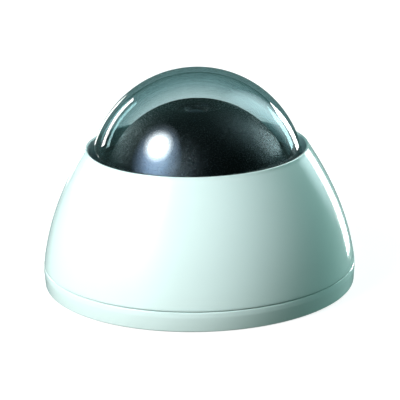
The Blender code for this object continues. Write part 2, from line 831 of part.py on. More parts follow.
head_axis = axis_empty("head_axis", tilt_axis, TILT_HEIGHT)
head_chassis(head_axis)
head_retaining_ring(head_axis)
lens_holder(head_axis)
sensor_stack(head_axis)
lens_lock_ring(head_axis)

lens_axis = axis_empty("lens_axis", head_axis, TILT_HEIGHT)
lens_barrel(lens_axis)
lens_glasses(lens_axis)
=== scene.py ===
"""Dome CCTV camera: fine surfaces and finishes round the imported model.

Outlines are (radius, height, fillet) in millimetres, and MM scales them to the
scene's metres.
"""

import json
from math import cos
from math import pi
from math import radians
from math import sin
from math import sqrt

import bpy
import numpy as np
from mathutils import Matrix
from mathutils import Vector


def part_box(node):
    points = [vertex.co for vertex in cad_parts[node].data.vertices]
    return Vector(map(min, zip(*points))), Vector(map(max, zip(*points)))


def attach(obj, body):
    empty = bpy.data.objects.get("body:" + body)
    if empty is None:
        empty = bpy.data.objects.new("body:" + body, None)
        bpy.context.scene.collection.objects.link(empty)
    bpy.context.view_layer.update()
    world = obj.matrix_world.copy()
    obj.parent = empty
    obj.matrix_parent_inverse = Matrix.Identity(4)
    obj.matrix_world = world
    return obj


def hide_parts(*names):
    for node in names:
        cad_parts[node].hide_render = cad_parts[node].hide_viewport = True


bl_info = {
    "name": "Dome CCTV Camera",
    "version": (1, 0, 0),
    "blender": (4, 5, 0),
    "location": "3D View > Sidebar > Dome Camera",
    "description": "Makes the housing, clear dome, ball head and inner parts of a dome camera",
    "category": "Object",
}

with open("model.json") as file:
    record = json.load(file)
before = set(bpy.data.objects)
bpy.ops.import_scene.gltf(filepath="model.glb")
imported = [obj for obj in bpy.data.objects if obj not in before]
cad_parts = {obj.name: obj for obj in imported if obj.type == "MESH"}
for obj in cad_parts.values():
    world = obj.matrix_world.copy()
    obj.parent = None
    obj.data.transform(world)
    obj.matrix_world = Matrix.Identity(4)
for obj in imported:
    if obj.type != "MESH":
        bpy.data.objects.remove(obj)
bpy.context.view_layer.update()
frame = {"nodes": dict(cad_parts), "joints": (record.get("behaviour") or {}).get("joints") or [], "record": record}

MM = 0.001
MIDDLE = Vector((0, 0, 0.035))
SHARP = radians(35)


def box_mm(node):
    """A CAD node's lowest and highest corners in millimetres."""
    low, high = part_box(node)
    return np.array(low) / MM, np.array(high) / MM


COVER_LOW, COVER_HIGH = box_mm("cover_shell")
BASE_HIGH = box_mm("base_plate")[1]
DOME_LOW, DOME_HIGH = box_mm("dome_bubble")
BALL_LOW, BALL_HIGH = box_mm("liner_ball")
FRONT_LOW, FRONT_HIGH = box_mm("lens_barrel")

SEAM_RADIUS = COVER_HIGH[0]
COVER_BOTTOM = COVER_LOW[2]
LIP_TOP = COVER_HIGH[2]
BASE_RADIUS = BASE_HIGH[0]
DOME_TOP = DOME_HIGH[2]
FLANGE_RADIUS = DOME_HIGH[0]
FLANGE_BOTTOM = DOME_LOW[2]
BALL_RADIUS = BALL_HIGH[0]
SKIRT_HEIGHT = BALL_LOW[2]
TILT_HEIGHT = next(j for j in frame["joints"] if j["name"] == "tilt")["pos_m"][2] / MM

RIM_HEIGHT = LIP_TOP - 0.5
WALL_SLOPE = 5.19
WALL_CURVE = 10.69
LIP_RADIUS = 38.4
COLLAR_OUTER = 39.9
COLLAR_BOTTOM = 42.9
INNER_TOP = 43.95
LUG_ANGLES = (90, 210, 330)
LOCK_TWIST = 15
CLAMP_RING = 41.9
CLAMP_ANGLES = (30, 150, 270)
DOME_RADIUS = 37.98
DOME_HEIGHT = DOME_TOP - DOME_RADIUS
FLANGE_TOP = 41.7
INLET_RING = 39.5
INLET_ANGLE = 90
MOUNT_RING = 43.5
MOUNT_ANGLES = (30, 150, 270)
BOARD_SCREW_RING = 30.0
BOARD_SCREW_ANGLES = (0, 120, 240)
BOARD_LOW = 3.0
BOARD_TOP = 4.4
BOARD_SEAT = BOARD_TOP + 0.3
PARTS_RING = 41.3
BALL_SCREW_RING = 24.6
BALL_SCREW_ANGLES = (90, 210, 330)
PAN_SCREW_OUT = -10.15
HEAD_PITCH = 10.6
SENSOR_BOARD_LOW = 35.5
CHIP_BOARD_LOW = 28.5
HEAD_BOARD_THICK = 1.2


# ---------------------------------------------------------------- outlines and surfaces


def fillet(outline, steps=6, closed=True):
    """Round each corner of an outline with the circle that touches both its sides.

    A corner of half angle h and radius R starts and ends R / tan(h) along its sides, and
    its points are the two radii blended by sin((1 - s) w) and sin(s w) over sin(w).
    """
    outline = np.array(outline, float)
    points = outline[:, :2]
    last = len(points) - 1
    rounded = []
    for i, (corner, radius) in enumerate(zip(points, outline[:, 2])):
        if radius <= 0 or (not closed and i in (0, last)):
            rounded.append(corner[None])
            continue
        back = points[i - 1] - corner
        ahead = points[(i + 1) % len(points)] - corner
        reach = min(np.linalg.norm(back), np.linalg.norm(ahead)) * 0.49
        back = back / np.linalg.norm(back)
        ahead = ahead / np.linalg.norm(ahead)
        half = np.arccos(np.clip(back @ ahead, -1, 1)) / 2
        if half > 1.55:
            rounded.append(corner[None])
            continue
        length = min(radius / np.tan(half), reach)
        middle = back + ahead
        centre = corner + middle / np.linalg.norm(middle) * length / np.cos(half)
        start = corner + back * length - centre
        end = corner + ahead * length - centre
        sweep = pi - 2 * half
        share = np.linspace(0, 1, steps + 1)[:, None]
        bend = (np.sin((1 - share) * sweep) * start + np.sin(share * sweep) * end) / np.sin(sweep)
        rounded.append(centre + bend)
    return np.concatenate(rounded)


def arc(centre_height, radius, start, end, count):
    """Circle round (0, centre_height): (R cos a, centre + R sin a, 0) for a from start to end."""
    angle = np.linspace(start, end, count)
    flat = np.zeros(count)
    return np.stack((radius * np.cos(angle), centre_height + radius * np.sin(angle), flat), 1)


def level_angle(radius, rise):
    """Angle a at which R sin a is the rise above the circle's centre."""
    return np.arcsin(rise / radius)


def grid_faces(rows, columns, wrap_rows, wrap_columns):
    """Quads of a grid whose point (i, j) has index i * columns + j."""
    i = np.arange(rows if wrap_rows else rows - 1)[:, None]
    j = np.arange(columns if wrap_columns else columns - 1)[None, :]
    next_i = (i + 1) % rows
    next_j = (j + 1) % columns
    here = i * columns
    there = next_i * columns
    corners = (here + j, here + next_j, there + next_j, there + j)
    return np.stack([c + 0 * (i + j) for c in corners], -1).reshape(-1, 4)


def revolve(outline, turns):
    """Turn an outline about Z: point (i, j) is (r_j cos a_i, r_j sin a_i, z_j).

    A ring's outline closes on itself. A solid's starts and ends on the axis, where each
    end becomes one point under a fan of triangles.
    """
    outline = np.asarray(outline)[:, :2] * MM
    solid = outline[0, 0] < 1e-7
    body = outline[1:-1] if solid else outline
    angle = np.linspace(0, 2 * pi, turns, endpoint=False)[:, None]
    x = body[:, 0] * np.cos(angle)
    y = body[:, 0] * np.sin(angle)
    z = body[:, 1] + 0 * angle
    points = np.stack((x, y, z), -1).reshape(-1, 3)
    columns = len(body)
    faces = grid_faces(turns, columns, True, not solid).tolist()
    if solid:
        top = len(points)
        ends = np.array([[0, 0, outline[0, 1]], [0, 0, outline[-1, 1]]])
        points = np.concatenate((points, ends))
        here = np.arange(turns)
        there = (here + 1) % turns
        fan = np.stack((here * 0 + top, here * columns, there * columns), 1)
        low = columns - 1
        under = np.stack((here * columns + low, here * 0 + top + 1, there * columns + low), 1)
        faces += fan.tolist() + under.tolist()
    return points, faces


def moved(points, at=(0, 0, 0), turn_z=0.0, flip=False, lean=None):
    """Turn points about Z, or stand their Z axis along X, then move them by at millimetres."""
    place = Matrix.Rotation(turn_z, 4, "Z")
    if flip:
        place = place @ Matrix.Rotation(pi, 4, "X")
    if lean is not None:
        place = place @ Matrix.Rotation(lean, 4, "Y")
    spin = np.array(place.to_3x3())
    return points @ spin.T + np.array(at, float) * MM


def block(centre, size, turn=0.0):
    """A closed box: each corner is the centre plus half the size times a sign on each axis."""
    sign = np.array([[x, y, z] for x in (-1, 1) for y in (-1, 1) for z in (-1, 1)], float)
    spin = np.array(Matrix.Rotation(turn, 3, "Z"))
    points = (sign * np.array(size) / 2) @ spin.T + np.array(centre)
    faces = [[0, 1, 3, 2], [4, 6, 7, 5], [0, 4, 5, 1], [2, 3, 7, 6], [0, 2, 6, 4], [1, 5, 7, 3]]
    return points * MM, faces


def cylinder(centre, radius, depth, segments=48, along="Z"):
    """A closed cylinder: a revolved rectangle, stood along X when asked."""
    outline = [(0, depth / 2), (radius, depth / 2), (radius, -depth / 2), (0, -depth / 2)]
    points, faces = revolve(outline, segments)
    lean = pi / 2 if along == "X" else None
    return moved(points, centre, lean=lean), faces


def loft(outline, levels, stand=False):
    """Stack copies of a closed outline, each moved in by its level's inset, with flat ends.

    Point (i, j) is the outline's point j less its outward normal times inset i, at height i.
    Standing, the outline lies in YZ and the heights run along X.
    """
    outline = np.asarray(outline)[:, :2]
    tangent = np.roll(outline, -1, 0) - np.roll(outline, 1, 0)
    normal = np.stack((tangent[:, 1], -tangent[:, 0]), 1)
    normal /= np.linalg.norm(normal, axis=1)[:, None]
    rows = []
    for height, inset in levels:
        flat = outline - normal * inset
        level = np.full((len(flat), 1), float(height))
        rows.append(np.hstack((level, flat) if stand else (flat, level)))
    count = len(outline)
    faces = grid_faces(len(levels), count, False, True).tolist()
    faces.append(list(range(count))[::-1])
    faces.append([(len(levels) - 1) * count + j for j in range(count)])
    return np.concatenate(rows) * MM, faces


def slab(centre, size, turn=0.0, corner=0.4, edge=0.15):
    """A box with rounded upright corners and chamfered rims, turned about Z in degrees."""
    x, y, z = (v / 2 for v in size)
    plan = fillet([(x, -y, corner), (x, y, corner), (-x, y, corner), (-x, -y, corner)], 4)
    levels = ((-z, edge), (edge - z, 0), (z - edge, 0), (z, edge))
    points, faces = loft(plan, levels)
    return moved(points, centre, turn_z=radians(turn)), faces


def shape_of(obj):
    """Take an object's mesh as (points, faces) and remove the object."""
    mesh = obj.data
    points = np.empty(len(mesh.vertices) * 3)
    mesh.vertices.foreach_get("co", points)
    faces = [list(face.vertices) for face in mesh.polygons]
    bpy.data.objects.remove(obj)
    bpy.data.meshes.remove(mesh)
    return points.reshape(-1, 3), faces


def screw_shape(head, shaft, length, knurl=0):
    """A screw under its head along -Z: a domed head, a cross recess and ridges for a thread.

    A knurled head's radius is scaled by 1 + 0.04 cos(k a).
    """
    radius, height = head
    outline = [(0, height, 0), (radius * 0.5, height, radius * 0.6), (radius, height * 0.55, 0.3)]
    outline += [(radius, 0, 0.05), (shaft, 0, 0.1)]
    pitch = 0.5
    ridges = max(1, int((length - shaft) / pitch))
    for number in range(ridges):
        depth = -pitch * (number + 0.5)
        outline += [(shaft, depth + 0.18, 0), (shaft * 0.84, depth, 0)]
    outline += [(shaft, -pitch * ridges, 0), (shaft * 0.5, -length, 0.1), (0, -length, 0)]
    points, faces = revolve(fillet(outline, 4, closed=False), 48)
    if knurl:
        angle = np.arctan2(points[:, 1], points[:, 0])
        rim = np.hypot(points[:, 0], points[:, 1]) > radius * 0.93 * MM
        points[:, :2] *= (1 + 0.04 * rim * np.cos(knurl * angle))[:, None]
    obj = mesh_object("screw", (points, faces))
    deep = height * 0.95
    for turn in (0, 90):
        arm = block((0, 0, height), (radius * 1.15, radius * 0.26, deep), radians(turn))
        boolean(obj, arm, "DIFFERENCE")
    return shape_of(obj)


def place_screws(label, shape, places, body, slot, node, **turns):
    """One piece for each place, standing for the node of the same number."""
    points, faces = shape
    for number, at in enumerate(places, 1):
        suffix = f"_{number}" if len(places) > 1 else ""
        put = (moved(points, at, **turns), faces)
        piece(label + suffix, put, body, slot, [node + suffix])


def joined(shapes):
    """Several (points, faces) as one, with the faces' numbers moved up."""
    points = []
    faces = []
    start = 0
    for shape_points, shape_faces in shapes:
        points.append(shape_points)
        faces += [[start + k for k in face] for face in shape_faces]
        start += len(shape_points)
    return np.concatenate(points), faces


def polar(radius, degrees, height):
    """The point (r cos a, r sin a, z)."""
    return (radius * cos(radians(degrees)), radius * sin(radians(degrees)), height)


def mesh_object(name, shape):
    points, faces = shape
    mesh = bpy.data.meshes.new(name)
    mesh.from_pydata(np.asarray(points).tolist(), [], faces)
    mesh.validate()
    obj = bpy.data.objects.new(name, mesh)
    bpy.context.scene.collection.objects.link(obj)
    return obj


def boolean(obj, shape, operation):
    """Join or cut a closed shape, and keep the result in the mesh."""
    helper = mesh_object(obj.name + "_helper", shape)
    change = obj.modifiers.new("change", "BOOLEAN")
    change.operation = operation
    change.solver = "EXACT"
    change.object = helper
    graph = bpy.context.evaluated_depsgraph_get()
    result = bpy.data.meshes.new_from_object(obj.evaluated_get(graph))
    obj.modifiers.clear()
    old = obj.data
    obj.data = result
    result.name = obj.name
    bpy.data.meshes.remove(old)
    bpy.data.objects.remove(helper)


def piece(name, shape, body, slot, nodes, join=(), cut=(), finish=None):
    """A piece in its slot's finish that rides on a body and stands for CAD nodes."""
    obj = mesh_object(name, shape)
    for extra in join:
        boolean(obj, extra, "UNION")
    for extra in cut:
        boolean(obj, extra, "DIFFERENCE")
    obj.data.materials.clear()
    obj.data.materials.append(finish or finish_of(slot))
    obj.data.shade_smooth()
    obj.data.set_sharp_from_angle(angle=SHARP)
    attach(obj, body)
    if nodes:
        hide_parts(*nodes)


# ---------------------------------------------------------------- shader graphs


class Signal:
    """A shader socket that Python arithmetic turns into Math nodes."""

    def __init__(self, graph, socket):
        self.graph = graph
        self.socket = socket

    def math(self, operation, *values):
        return self.graph.node("Math", {"operation": operation}, dict(enumerate(values)))

    def __add__(self, other):
        return self.math("ADD", self, other)

    __radd__ = __add__

    def __mul__(self, other):
        return self.math("MULTIPLY", self, other)

    __rmul__ = __mul__

    def __sub__(self, other):
        return self.math("SUBTRACT", self, other)

    def __rsub__(self, other):
        return self.math("SUBTRACT", other, self)

    def __pow__(self, other):
        return self.math("POWER", self, other)

    def spread(self, low, high):
        """Map low..high onto 0..1 with smooth ends."""
        settings = {"interpolation_type": "SMOOTHSTEP"}
        values = {"Value": self, "From Min": low, "From Max": high}
        return self.graph.node("MapRange", settings, values)


class Graph:
    """Nodes of one tree."""

    def __init__(self, tree):
        self.tree = tree

    def node(self, kind, settings=None, values=None, out=0):
        """Add a node: its settings first, then the values or links of its sockets."""
        made = self.tree.nodes.new("ShaderNode" + kind)
        for name, value in (settings or {}).items():
            if name == "stops":
                self.set_stops(made.color_ramp, value)
            else:
                setattr(made, name, value)
        for name, value in (values or {}).items():
            self.feed(made.inputs[name], value)
        return Signal(self, made.outputs[out]) if len(made.outputs) else made

    def set_stops(self, ramp, stops):
        while len(ramp.elements) < len(stops):
            ramp.elements.new(0.5)
        for element, (position, colour) in zip(ramp.elements, stops):
            element.position = position
            element.color = (*colour, 1)

    def feed(self, socket, value):
        if isinstance(value, Signal):
            self.tree.links.new(value.socket, socket)
        elif socket.type == "RGBA" and len(value) == 3:
            socket.default_value = (*value, 1)
        else:
            socket.default_value = value

    def mix(self, factor, first, second):
        """Blend two colours."""
        values = {0: factor, 6: first, 7: second}
        return self.node("Mix", {"data_type": "RGBA"}, values, out=2)


class Finish(Graph):
    """A material and its node graph."""

    def __init__(self, name, **constants):
        self.material = bpy.data.materials.new(name)
        self.material.use_nodes = True
        super().__init__(self.material.node_tree)
        self.shader = self.tree.nodes["Principled BSDF"]
        self.place = self.node("TexCoord", out="Object")
        for socket, value in constants.items():
            self.shader.inputs[socket.replace("_", " ")].default_value = value

    def noise(self, scale, detail=2.0, rough=0.5, vector=None):
        values = {"Vector": vector or self.place, "Scale": scale}
        values |= {"Detail": detail, "Roughness": rough}
        return self.node("TexNoise", None, values)

    def stretched(self, scale):
        """Object coordinates scaled by a different amount on each axis."""
        return self.node("Mapping", None, {"Vector": self.place, "Scale": scale})

    def bump(self, height, strength, distance):
        values = {"Height": height, "Strength": strength, "Distance": distance}
        return self.node("Bump", None, values)

    def put(self, **sockets):
        for socket, value in sockets.items():
            self.feed(self.shader.inputs[socket.replace("_", " ")], value)

    def surface(self, signal):
        output = self.tree.nodes["Material Output"]
        self.tree.links.new(signal.socket, output.inputs["Surface"])


def glossy_white(colour):
    """Moulded white plastic: faint cloudiness, a soft orange peel and a few duller patches."""
    f = Finish("glossy_white", Coat_Roughness=0.04, IOR=1.5)
    cloud = f.noise(28, 3)
    peel = f.noise(420, 1)
    rub = f.noise(70, 4, 0.6).spread(0.45, 0.8)
    shade = tuple(c * 0.965 for c in colour)
    f.put(Base_Color=f.mix(cloud.spread(0.3, 0.7), shade, colour))
    f.put(Roughness=0.13 + 0.05 * rub, Coat_Weight=0.3 - 0.05 * rub)
    f.put(Normal=f.bump(peel, 0.04, 0.0002))
    return f.material


def clear_tint(name, middle, edge, strength):
    """Clear plastic under a glossy film.

    The outer wall's tint goes from middle to edge as it turns edge-on, with a darker ring
    at the very edge.
    """
    f = Finish(name, Roughness=0.02, IOR=1.5)
    facing = f.node("LayerWeight", None, {"Blend": 0.35}, out="Facing")
    middle_of_dome = (0, 0, DOME_HEIGHT * MM)
    ends = {0: f.place, 1: middle_of_dome}
    depth = f.node("VectorMath", {"operation": "DISTANCE"}, ends, out="Value")
    outer = depth.spread((DOME_RADIUS - 1.4) * MM, (DOME_RADIUS - 0.8) * MM)
    inside = f.node("NewGeometry", out="Backfacing")
    film = f.node("Fresnel", None, {"IOR": 1.5 - inside * (1.5 - 1 / 1.5)})
    scuff = f.noise(90, 5, 0.7)
    centre_view = f.node("BsdfTransparent", None, {"Color": middle}, out="BSDF")
    edge_view = f.node("BsdfTransparent", None, {"Color": edge}, out="BSDF")
    ring_view = f.node("BsdfTransparent", None, {"Color": (0.30, 0.42, 0.43)}, out="BSDF")
    across = outer * facing.spread(0.12, 0.45)
    see = f.node("MixShader", None, {0: across, 1: centre_view, 2: edge_view})
    see = f.node("MixShader", None, {0: outer * facing.spread(0.52, 0.6), 1: see, 2: ring_view})
    gloss = f.node("BsdfGlossy", None, {"Color": (1, 1, 1), "Roughness": 0.015}, out="BSDF")
    factor = film * (strength + 0.04 * scuff)
    f.surface(f.node("MixShader", None, {0: factor, 1: see, 2: gloss}))
    return f.material


def grained_black(name, colour, grain, roughness):
    """Black plastic with a fine spark-eroded grain."""
    f = Finish(name, IOR=1.5)
    fine = f.noise(grain, 3, 0.65)
    patch = f.noise(60, 2)
    pale = tuple(c * 1.7 + 0.002 for c in colour)
    f.put(Base_Color=f.mix(fine.spread(0.35, 0.75), colour, pale))
    f.put(Roughness=roughness + 0.1 * (fine - 0.5) + 0.015 * patch)
    f.put(Normal=f.bump(fine, 0.8, 0.0002))
    return f.material


def satin_plastic(name, colour, roughness=0.45):
    """Moulded plastic with a light texture and slightly paler rubbed spots."""
    f = Finish(name, IOR=1.5)
    fine = f.noise(1400, 3, 0.6)
    rub = f.noise(120, 4, 0.6).spread(0.5, 0.75)
    pale = tuple(min(1.0, c * 1.25 + 0.01) for c in colour)
    f.put(Base_Color=f.mix(rub, colour, pale), Roughness=roughness - 0.12 * rub)
    f.put(Normal=f.bump(fine, 0.2, 0.00005))
    return f.material


def metal(name, colour, roughness=0.28, brush=(900, 900, 90)):
    """Metal with fine lines along one axis and duller patches."""
    f = Finish(name, Metallic=1.0)
    lines = f.noise(1, 2, 0.6, f.stretched(brush))
    patch = f.noise(150, 3, 0.6)
    dull = tuple(c * 0.72 for c in colour)
    f.put(Base_Color=f.mix(patch.spread(0.4, 0.8), colour, dull))
    f.put(Roughness=roughness + 0.18 * (lines - 0.5) + 0.12 * patch.spread(0.45, 0.8))
    f.put(Normal=f.bump(lines, 0.15, 0.00004))
    return f.material


def circuit_board_finish():
    """Solder mask over copper tracks: the edges of square cells, with pads at their middles."""
    f = Finish("solder_mask", IOR=1.5)
    settings = {"feature": "DISTANCE_TO_EDGE", "voronoi_dimensions": "2D"}
    cells = {"Vector": f.place, "Scale": 330.0, "Randomness": 0.75}
    edges = f.node("TexVoronoi", settings, cells, out="Distance")
    settings = {"feature": "F1", "distance": "MANHATTAN", "voronoi_dimensions": "2D"}
    dots = f.node("TexVoronoi", settings, {**cells, "Scale": 520.0}, out="Distance")
    weave = f.noise(2600, 2)
    track = 1 - edges.spread(0.05, 0.09)
    pad = (1 - dots.spread(0.13, 0.17)) * f.noise(150, 1).spread(0.5, 0.56)
    green = f.mix(weave.spread(0.3, 0.7), (0.004, 0.055, 0.022), (0.006, 0.075, 0.03))
    tracked = f.mix(track, green, (0.016, 0.17, 0.06))
    f.put(Base_Color=f.mix(pad, tracked, (0.62, 0.52, 0.3)), Metallic=pad * 0.8)
    f.put(Roughness=0.32 + 0.12 * pad, Normal=f.bump(track + pad, 0.4, 0.00005))
    return f.material


def coated_glass(name, colour, ring):
    """Lens glass: nearly black, with a coating that turns to another tint at its edge."""
    f = Finish(name, Roughness=0.02, IOR=1.6)
    facing = f.node("LayerWeight", None, {"Blend": 0.5}, out="Facing")
    smear = f.noise(500, 3)
    f.put(Base_Color=f.mix(facing.spread(0.1, 0.8), colour, ring))
    f.put(Roughness=0.02 + 0.03 * smear, Coat_Weight=1.0 - 0.2 * smear)
    return f.material


def finishes(settings):
    """Every finish by the record's slot name."""
    return {
        "white_plastic": glossy_white(settings.housing_colour),
        "clear_plastic": clear_tint(
            "clear_dome_plastic", settings.dome_tint, settings.dome_edge_tint, 1.0
        ),
        "black_plastic": grained_black("grained_black", settings.ball_colour, 1900, 0.26),
        "black_rubber": grained_black("matt_rubber", (0.012, 0.012, 0.012), 900, 0.75),
        "grey_plastic": satin_plastic("satin_grey", (0.10, 0.105, 0.11)),
        "terminal_green": satin_plastic("terminal_green_moulding", (0.03, 0.26, 0.12)),
        "switch_blue": satin_plastic("switch_blue_moulding", (0.02, 0.07, 0.33)),
        "chip_black": satin_plastic("chip_resin", (0.018, 0.018, 0.019), 0.55),
        "steel": metal("zinc_steel", (0.62, 0.62, 0.60)),
        "brass": metal("satin_brass", (0.72, 0.50, 0.22), 0.3),
        "aluminium": metal("cast_aluminium", (0.70, 0.71, 0.72), 0.38, (700, 700, 700)),
        "board_green": circuit_board_finish(),
        "sensor_glass": coated_glass("sensor_glass_coated", (0.05, 0.03, 0.09), (0.03, 0.12, 0.1)),
        "lens_glass": coated_glass("lens_glass_coated", (0.003, 0.003, 0.004), (0.02, 0.014, 0.03)),
    }


def finish_of(slot):
    """The finish of a slot, made on first use."""
    if not made_finishes:
        made_finishes.update(finishes(bpy.context.scene.dome_camera))
    return made_finishes[slot]


made_finishes = {}


# ---------------------------------------------------------------- housing


def wall_radius(height):
    """Outer wall: seam radius less a slope and a square of the share of the height."""
    share = (height - COVER_BOTTOM) / (RIM_HEIGHT - COVER_BOTTOM)
    return SEAM_RADIUS - WALL_SLOPE * share - WALL_CURVE * share**2


def inner_wall_radius(height, wall):
    """The outer wall moved in by its thickness, measured square to the surface."""
    slope = wall_radius(height + 0.5) - wall_radius(height - 0.5)
    return wall_radius(height) - wall * np.sqrt(1 + slope**2)


def curve_rows(radius, height):
    """Outline rows (radius, height, 0) of an unrounded curve."""
    return np.stack((radius, height, np.zeros(len(height))), 1)


def housing_shapes(settings):
    """The wall's outer and inner curves and the lip, revolved, with lugs, bosses and holes."""
    heights = np.linspace(RIM_HEIGHT, COVER_BOTTOM + 0.25, 56)
    outer = curve_rows(wall_radius(heights), heights)
    heights = np.linspace(COVER_BOTTOM + 0.25, INNER_TOP, 30)
    inner = curve_rows(inner_wall_radius(heights, settings.wall), heights)
    outline = [
        [(LIP_RADIUS + 0.12, COLLAR_BOTTOM, 0.15), (LIP_RADIUS, LIP_TOP, 0.45)],
        [(LIP_RADIUS + 0.92, LIP_TOP, 0.45)],
        outer,
        [(SEAM_RADIUS - 0.06, COVER_BOTTOM, 0.16)],
        [(SEAM_RADIUS - settings.wall, COVER_BOTTOM, 0.16)],
        inner,
        [(COLLAR_OUTER, INNER_TOP, 0), (COLLAR_OUTER, COLLAR_BOTTOM, 0.15)],
    ]
    shell = revolve(fillet(np.concatenate(outline)), settings.turns)
    lugs = []
    for angle in LUG_ANGLES:
        turn = angle - LOCK_TWIST
        lugs.append(block(polar(52.45, turn, 8.35), (3.1, 10.0, 1.5), radians(turn)))
    bosses = []
    holes = []
    for angle in CLAMP_ANGLES:
        bosses.append(cylinder(polar(CLAMP_RING, angle, 38.25), 2.0, 4.1))
        holes.append(cylinder(polar(CLAMP_RING, angle, 37.8), 1.1, 4.4, 24))
    return shell, joined(lugs + bosses), joined(holes)


def dome_outline(settings):
    """Two circle arcs about one centre, a wall apart, joined by the flange."""
    low = level_angle(DOME_RADIUS, FLANGE_TOP - DOME_HEIGHT)
    outer = arc(DOME_HEIGHT, DOME_RADIUS, pi / 2, low, 90)
    inner_radius = DOME_RADIUS - settings.dome_wall
    low = level_angle(inner_radius, FLANGE_BOTTOM - DOME_HEIGHT)
    inner = arc(DOME_HEIGHT, inner_radius, low, pi / 2, 80)
    flange = [(FLANGE_RADIUS, FLANGE_TOP, 0.2), (FLANGE_RADIUS, FLANGE_BOTTOM, 0.2)]
    outline = np.concatenate((outer, flange, inner))
    outline[0, 0] = outline[-1, 0] = 0
    return fillet(outline, closed=False)


def ring_piece(name, outline, body, slot, nodes, turns, **changes):
    """A piece made by turning a filleted outline about Z."""
    piece(name, revolve(fillet(outline), turns), body, slot, nodes, **changes)


def turned(outline, place, turns=72):
    """A solid turned about an upright axis through a place."""
    points, faces = revolve(fillet(outline, closed=False), turns)
    return moved(points, place), faces


def make_housing(settings):
    shell, extras, holes = housing_shapes(settings)
    nodes = ["cover_shell"]
    piece("housing_cover", shell, "cover", "white_plastic", nodes, [extras], [holes])
    dome = revolve(dome_outline(settings), settings.turns)
    piece("clear_dome", dome, "cover", "clear_plastic", ["dome_bubble"])
    inner = LIP_RADIUS + 0.1
    top = COLLAR_BOTTOM - 0.1
    outline = [(inner, top, 0.2), (FLANGE_RADIUS, top, 0.2)]
    outline += [(FLANGE_RADIUS, FLANGE_TOP + 0.1, 0.2), (inner, FLANGE_TOP + 0.1, 0.2)]
    ring_piece("dome_seal", outline, "cover", "black_rubber", ["dome_gasket"], 160)
    low, high = box_mm("dome_clamp_ring")
    step = 35.9
    bore = 37.0
    neck = 39.4
    outline = [(bore, high[2], 0.3), (neck, high[2], 0.3), (neck, step, 0.2)]
    outline += [(high[0], step, 0.3), (high[0], low[2], 0.3), (bore, low[2], 0.3)]
    holes = [cylinder(polar(CLAMP_RING, a, step - 1), 1.2, 5, 24) for a in CLAMP_ANGLES]
    nodes = ["dome_clamp_ring"]
    ring_piece("clamp_ring", outline, "cover", "black_plastic", nodes, 160, cut=[joined(holes)])


# ---------------------------------------------------------------- base


def make_base(settings):
    band_top = 7.0
    channel = (50.4, 53.2)
    channel_floor = 4.6
    rim_top = BASE_HIGH[2]
    rim_inner = 49.0
    floor_top = 2.0
    hub = (8.3, 12.0)
    hub_top = 8.7
    relief = 11.0
    outline = [
        (channel[1], band_top, 0.25),
        (BASE_RADIUS - 0.12, band_top, 0.3),
        (BASE_RADIUS, 5.0, 2.0),
        (BASE_RADIUS - 0.35, 0.0, 0.6),
        (relief, 0.0, 0.3),
        (relief, floor_top, 0.0),
        (hub[0], floor_top, 0.2),
        (hub[0], hub_top, 0.3),
        (hub[1], hub_top, 0.5),
        (hub[1], floor_top, 0.8),
        (rim_inner, floor_top, 0.6),
        (rim_inner, rim_top, 0.3),
        (channel[0], rim_top, 0.3),
        (channel[0], channel_floor, 0.4),
        (channel[1], channel_floor, 0.4),
    ]
    shell = revolve(fillet(outline), settings.turns)
    lugs = [block(polar(50.55, a, 10.4), (1.9, 12.0, 2.0), radians(a)) for a in LUG_ANGLES]
    screws = [polar(BOARD_SCREW_RING, a, 0) for a in BOARD_SCREW_ANGLES]
    posts = [cylinder((x, y, 1.85), 3.0, 1.7) for x, y, _ in screws]
    holes = [cylinder((x, y, 2.1), 1.4, 2.6, 24) for x, y, _ in screws]
    holes += [cylinder(polar(MOUNT_RING, a, 1.0), 2.3, 4.0) for a in MOUNT_ANGLES]
    holes.append(cylinder(polar(INLET_RING, INLET_ANGLE, 1.0), 6.5, 4.0, 64))
    extras = [joined(lugs + posts)]
    piece("base_body", shell, "base", "white_plastic", ["base_plate"], extras, [joined(holes)])
    low, high = box_mm("seam_seal")
    inner = 51.0
    outline = [(inner, high[2], 0.5), (high[0], high[2], 0.5), (high[0], low[2], 0.3)]
    outline += [(inner, low[2], 0.3)]
    ring_piece("seam_ring", outline, "seal", "black_rubber", ["seam_seal"], settings.turns)


# ---------------------------------------------------------------- inside the base


def make_mains_board():
    inner = 14.5
    outer = 47.5
    board = [(inner, BOARD_TOP, 0.1), (outer, BOARD_TOP, 0.1)]
    board += [(outer, BOARD_LOW, 0.1), (inner, BOARD_LOW, 0.1)]
    middle = (BOARD_LOW + BOARD_TOP) / 2
    deep = 4.0
    places = [polar(BOARD_SCREW_RING, a, BOARD_SEAT) for a in BOARD_SCREW_ANGLES]
    holes = [cylinder(polar(MOUNT_RING, a, middle), 4.6, deep) for a in MOUNT_ANGLES]
    holes += [cylinder((x, y, middle), 1.5, deep, 24) for x, y, _ in places]
    holes.append(cylinder(polar(INLET_RING, INLET_ANGLE, middle), 9.0, deep, 64))
    nodes = ["power_board"]
    ring_piece("mains_board", board, "base", "board_green", nodes, 160, cut=[joined(holes)])
    shape = screw_shape((2.4, 1.4), 1.1, 3.4)
    place_screws("board_fixing_screw", shape, places, "base", "steel", "board_screw")


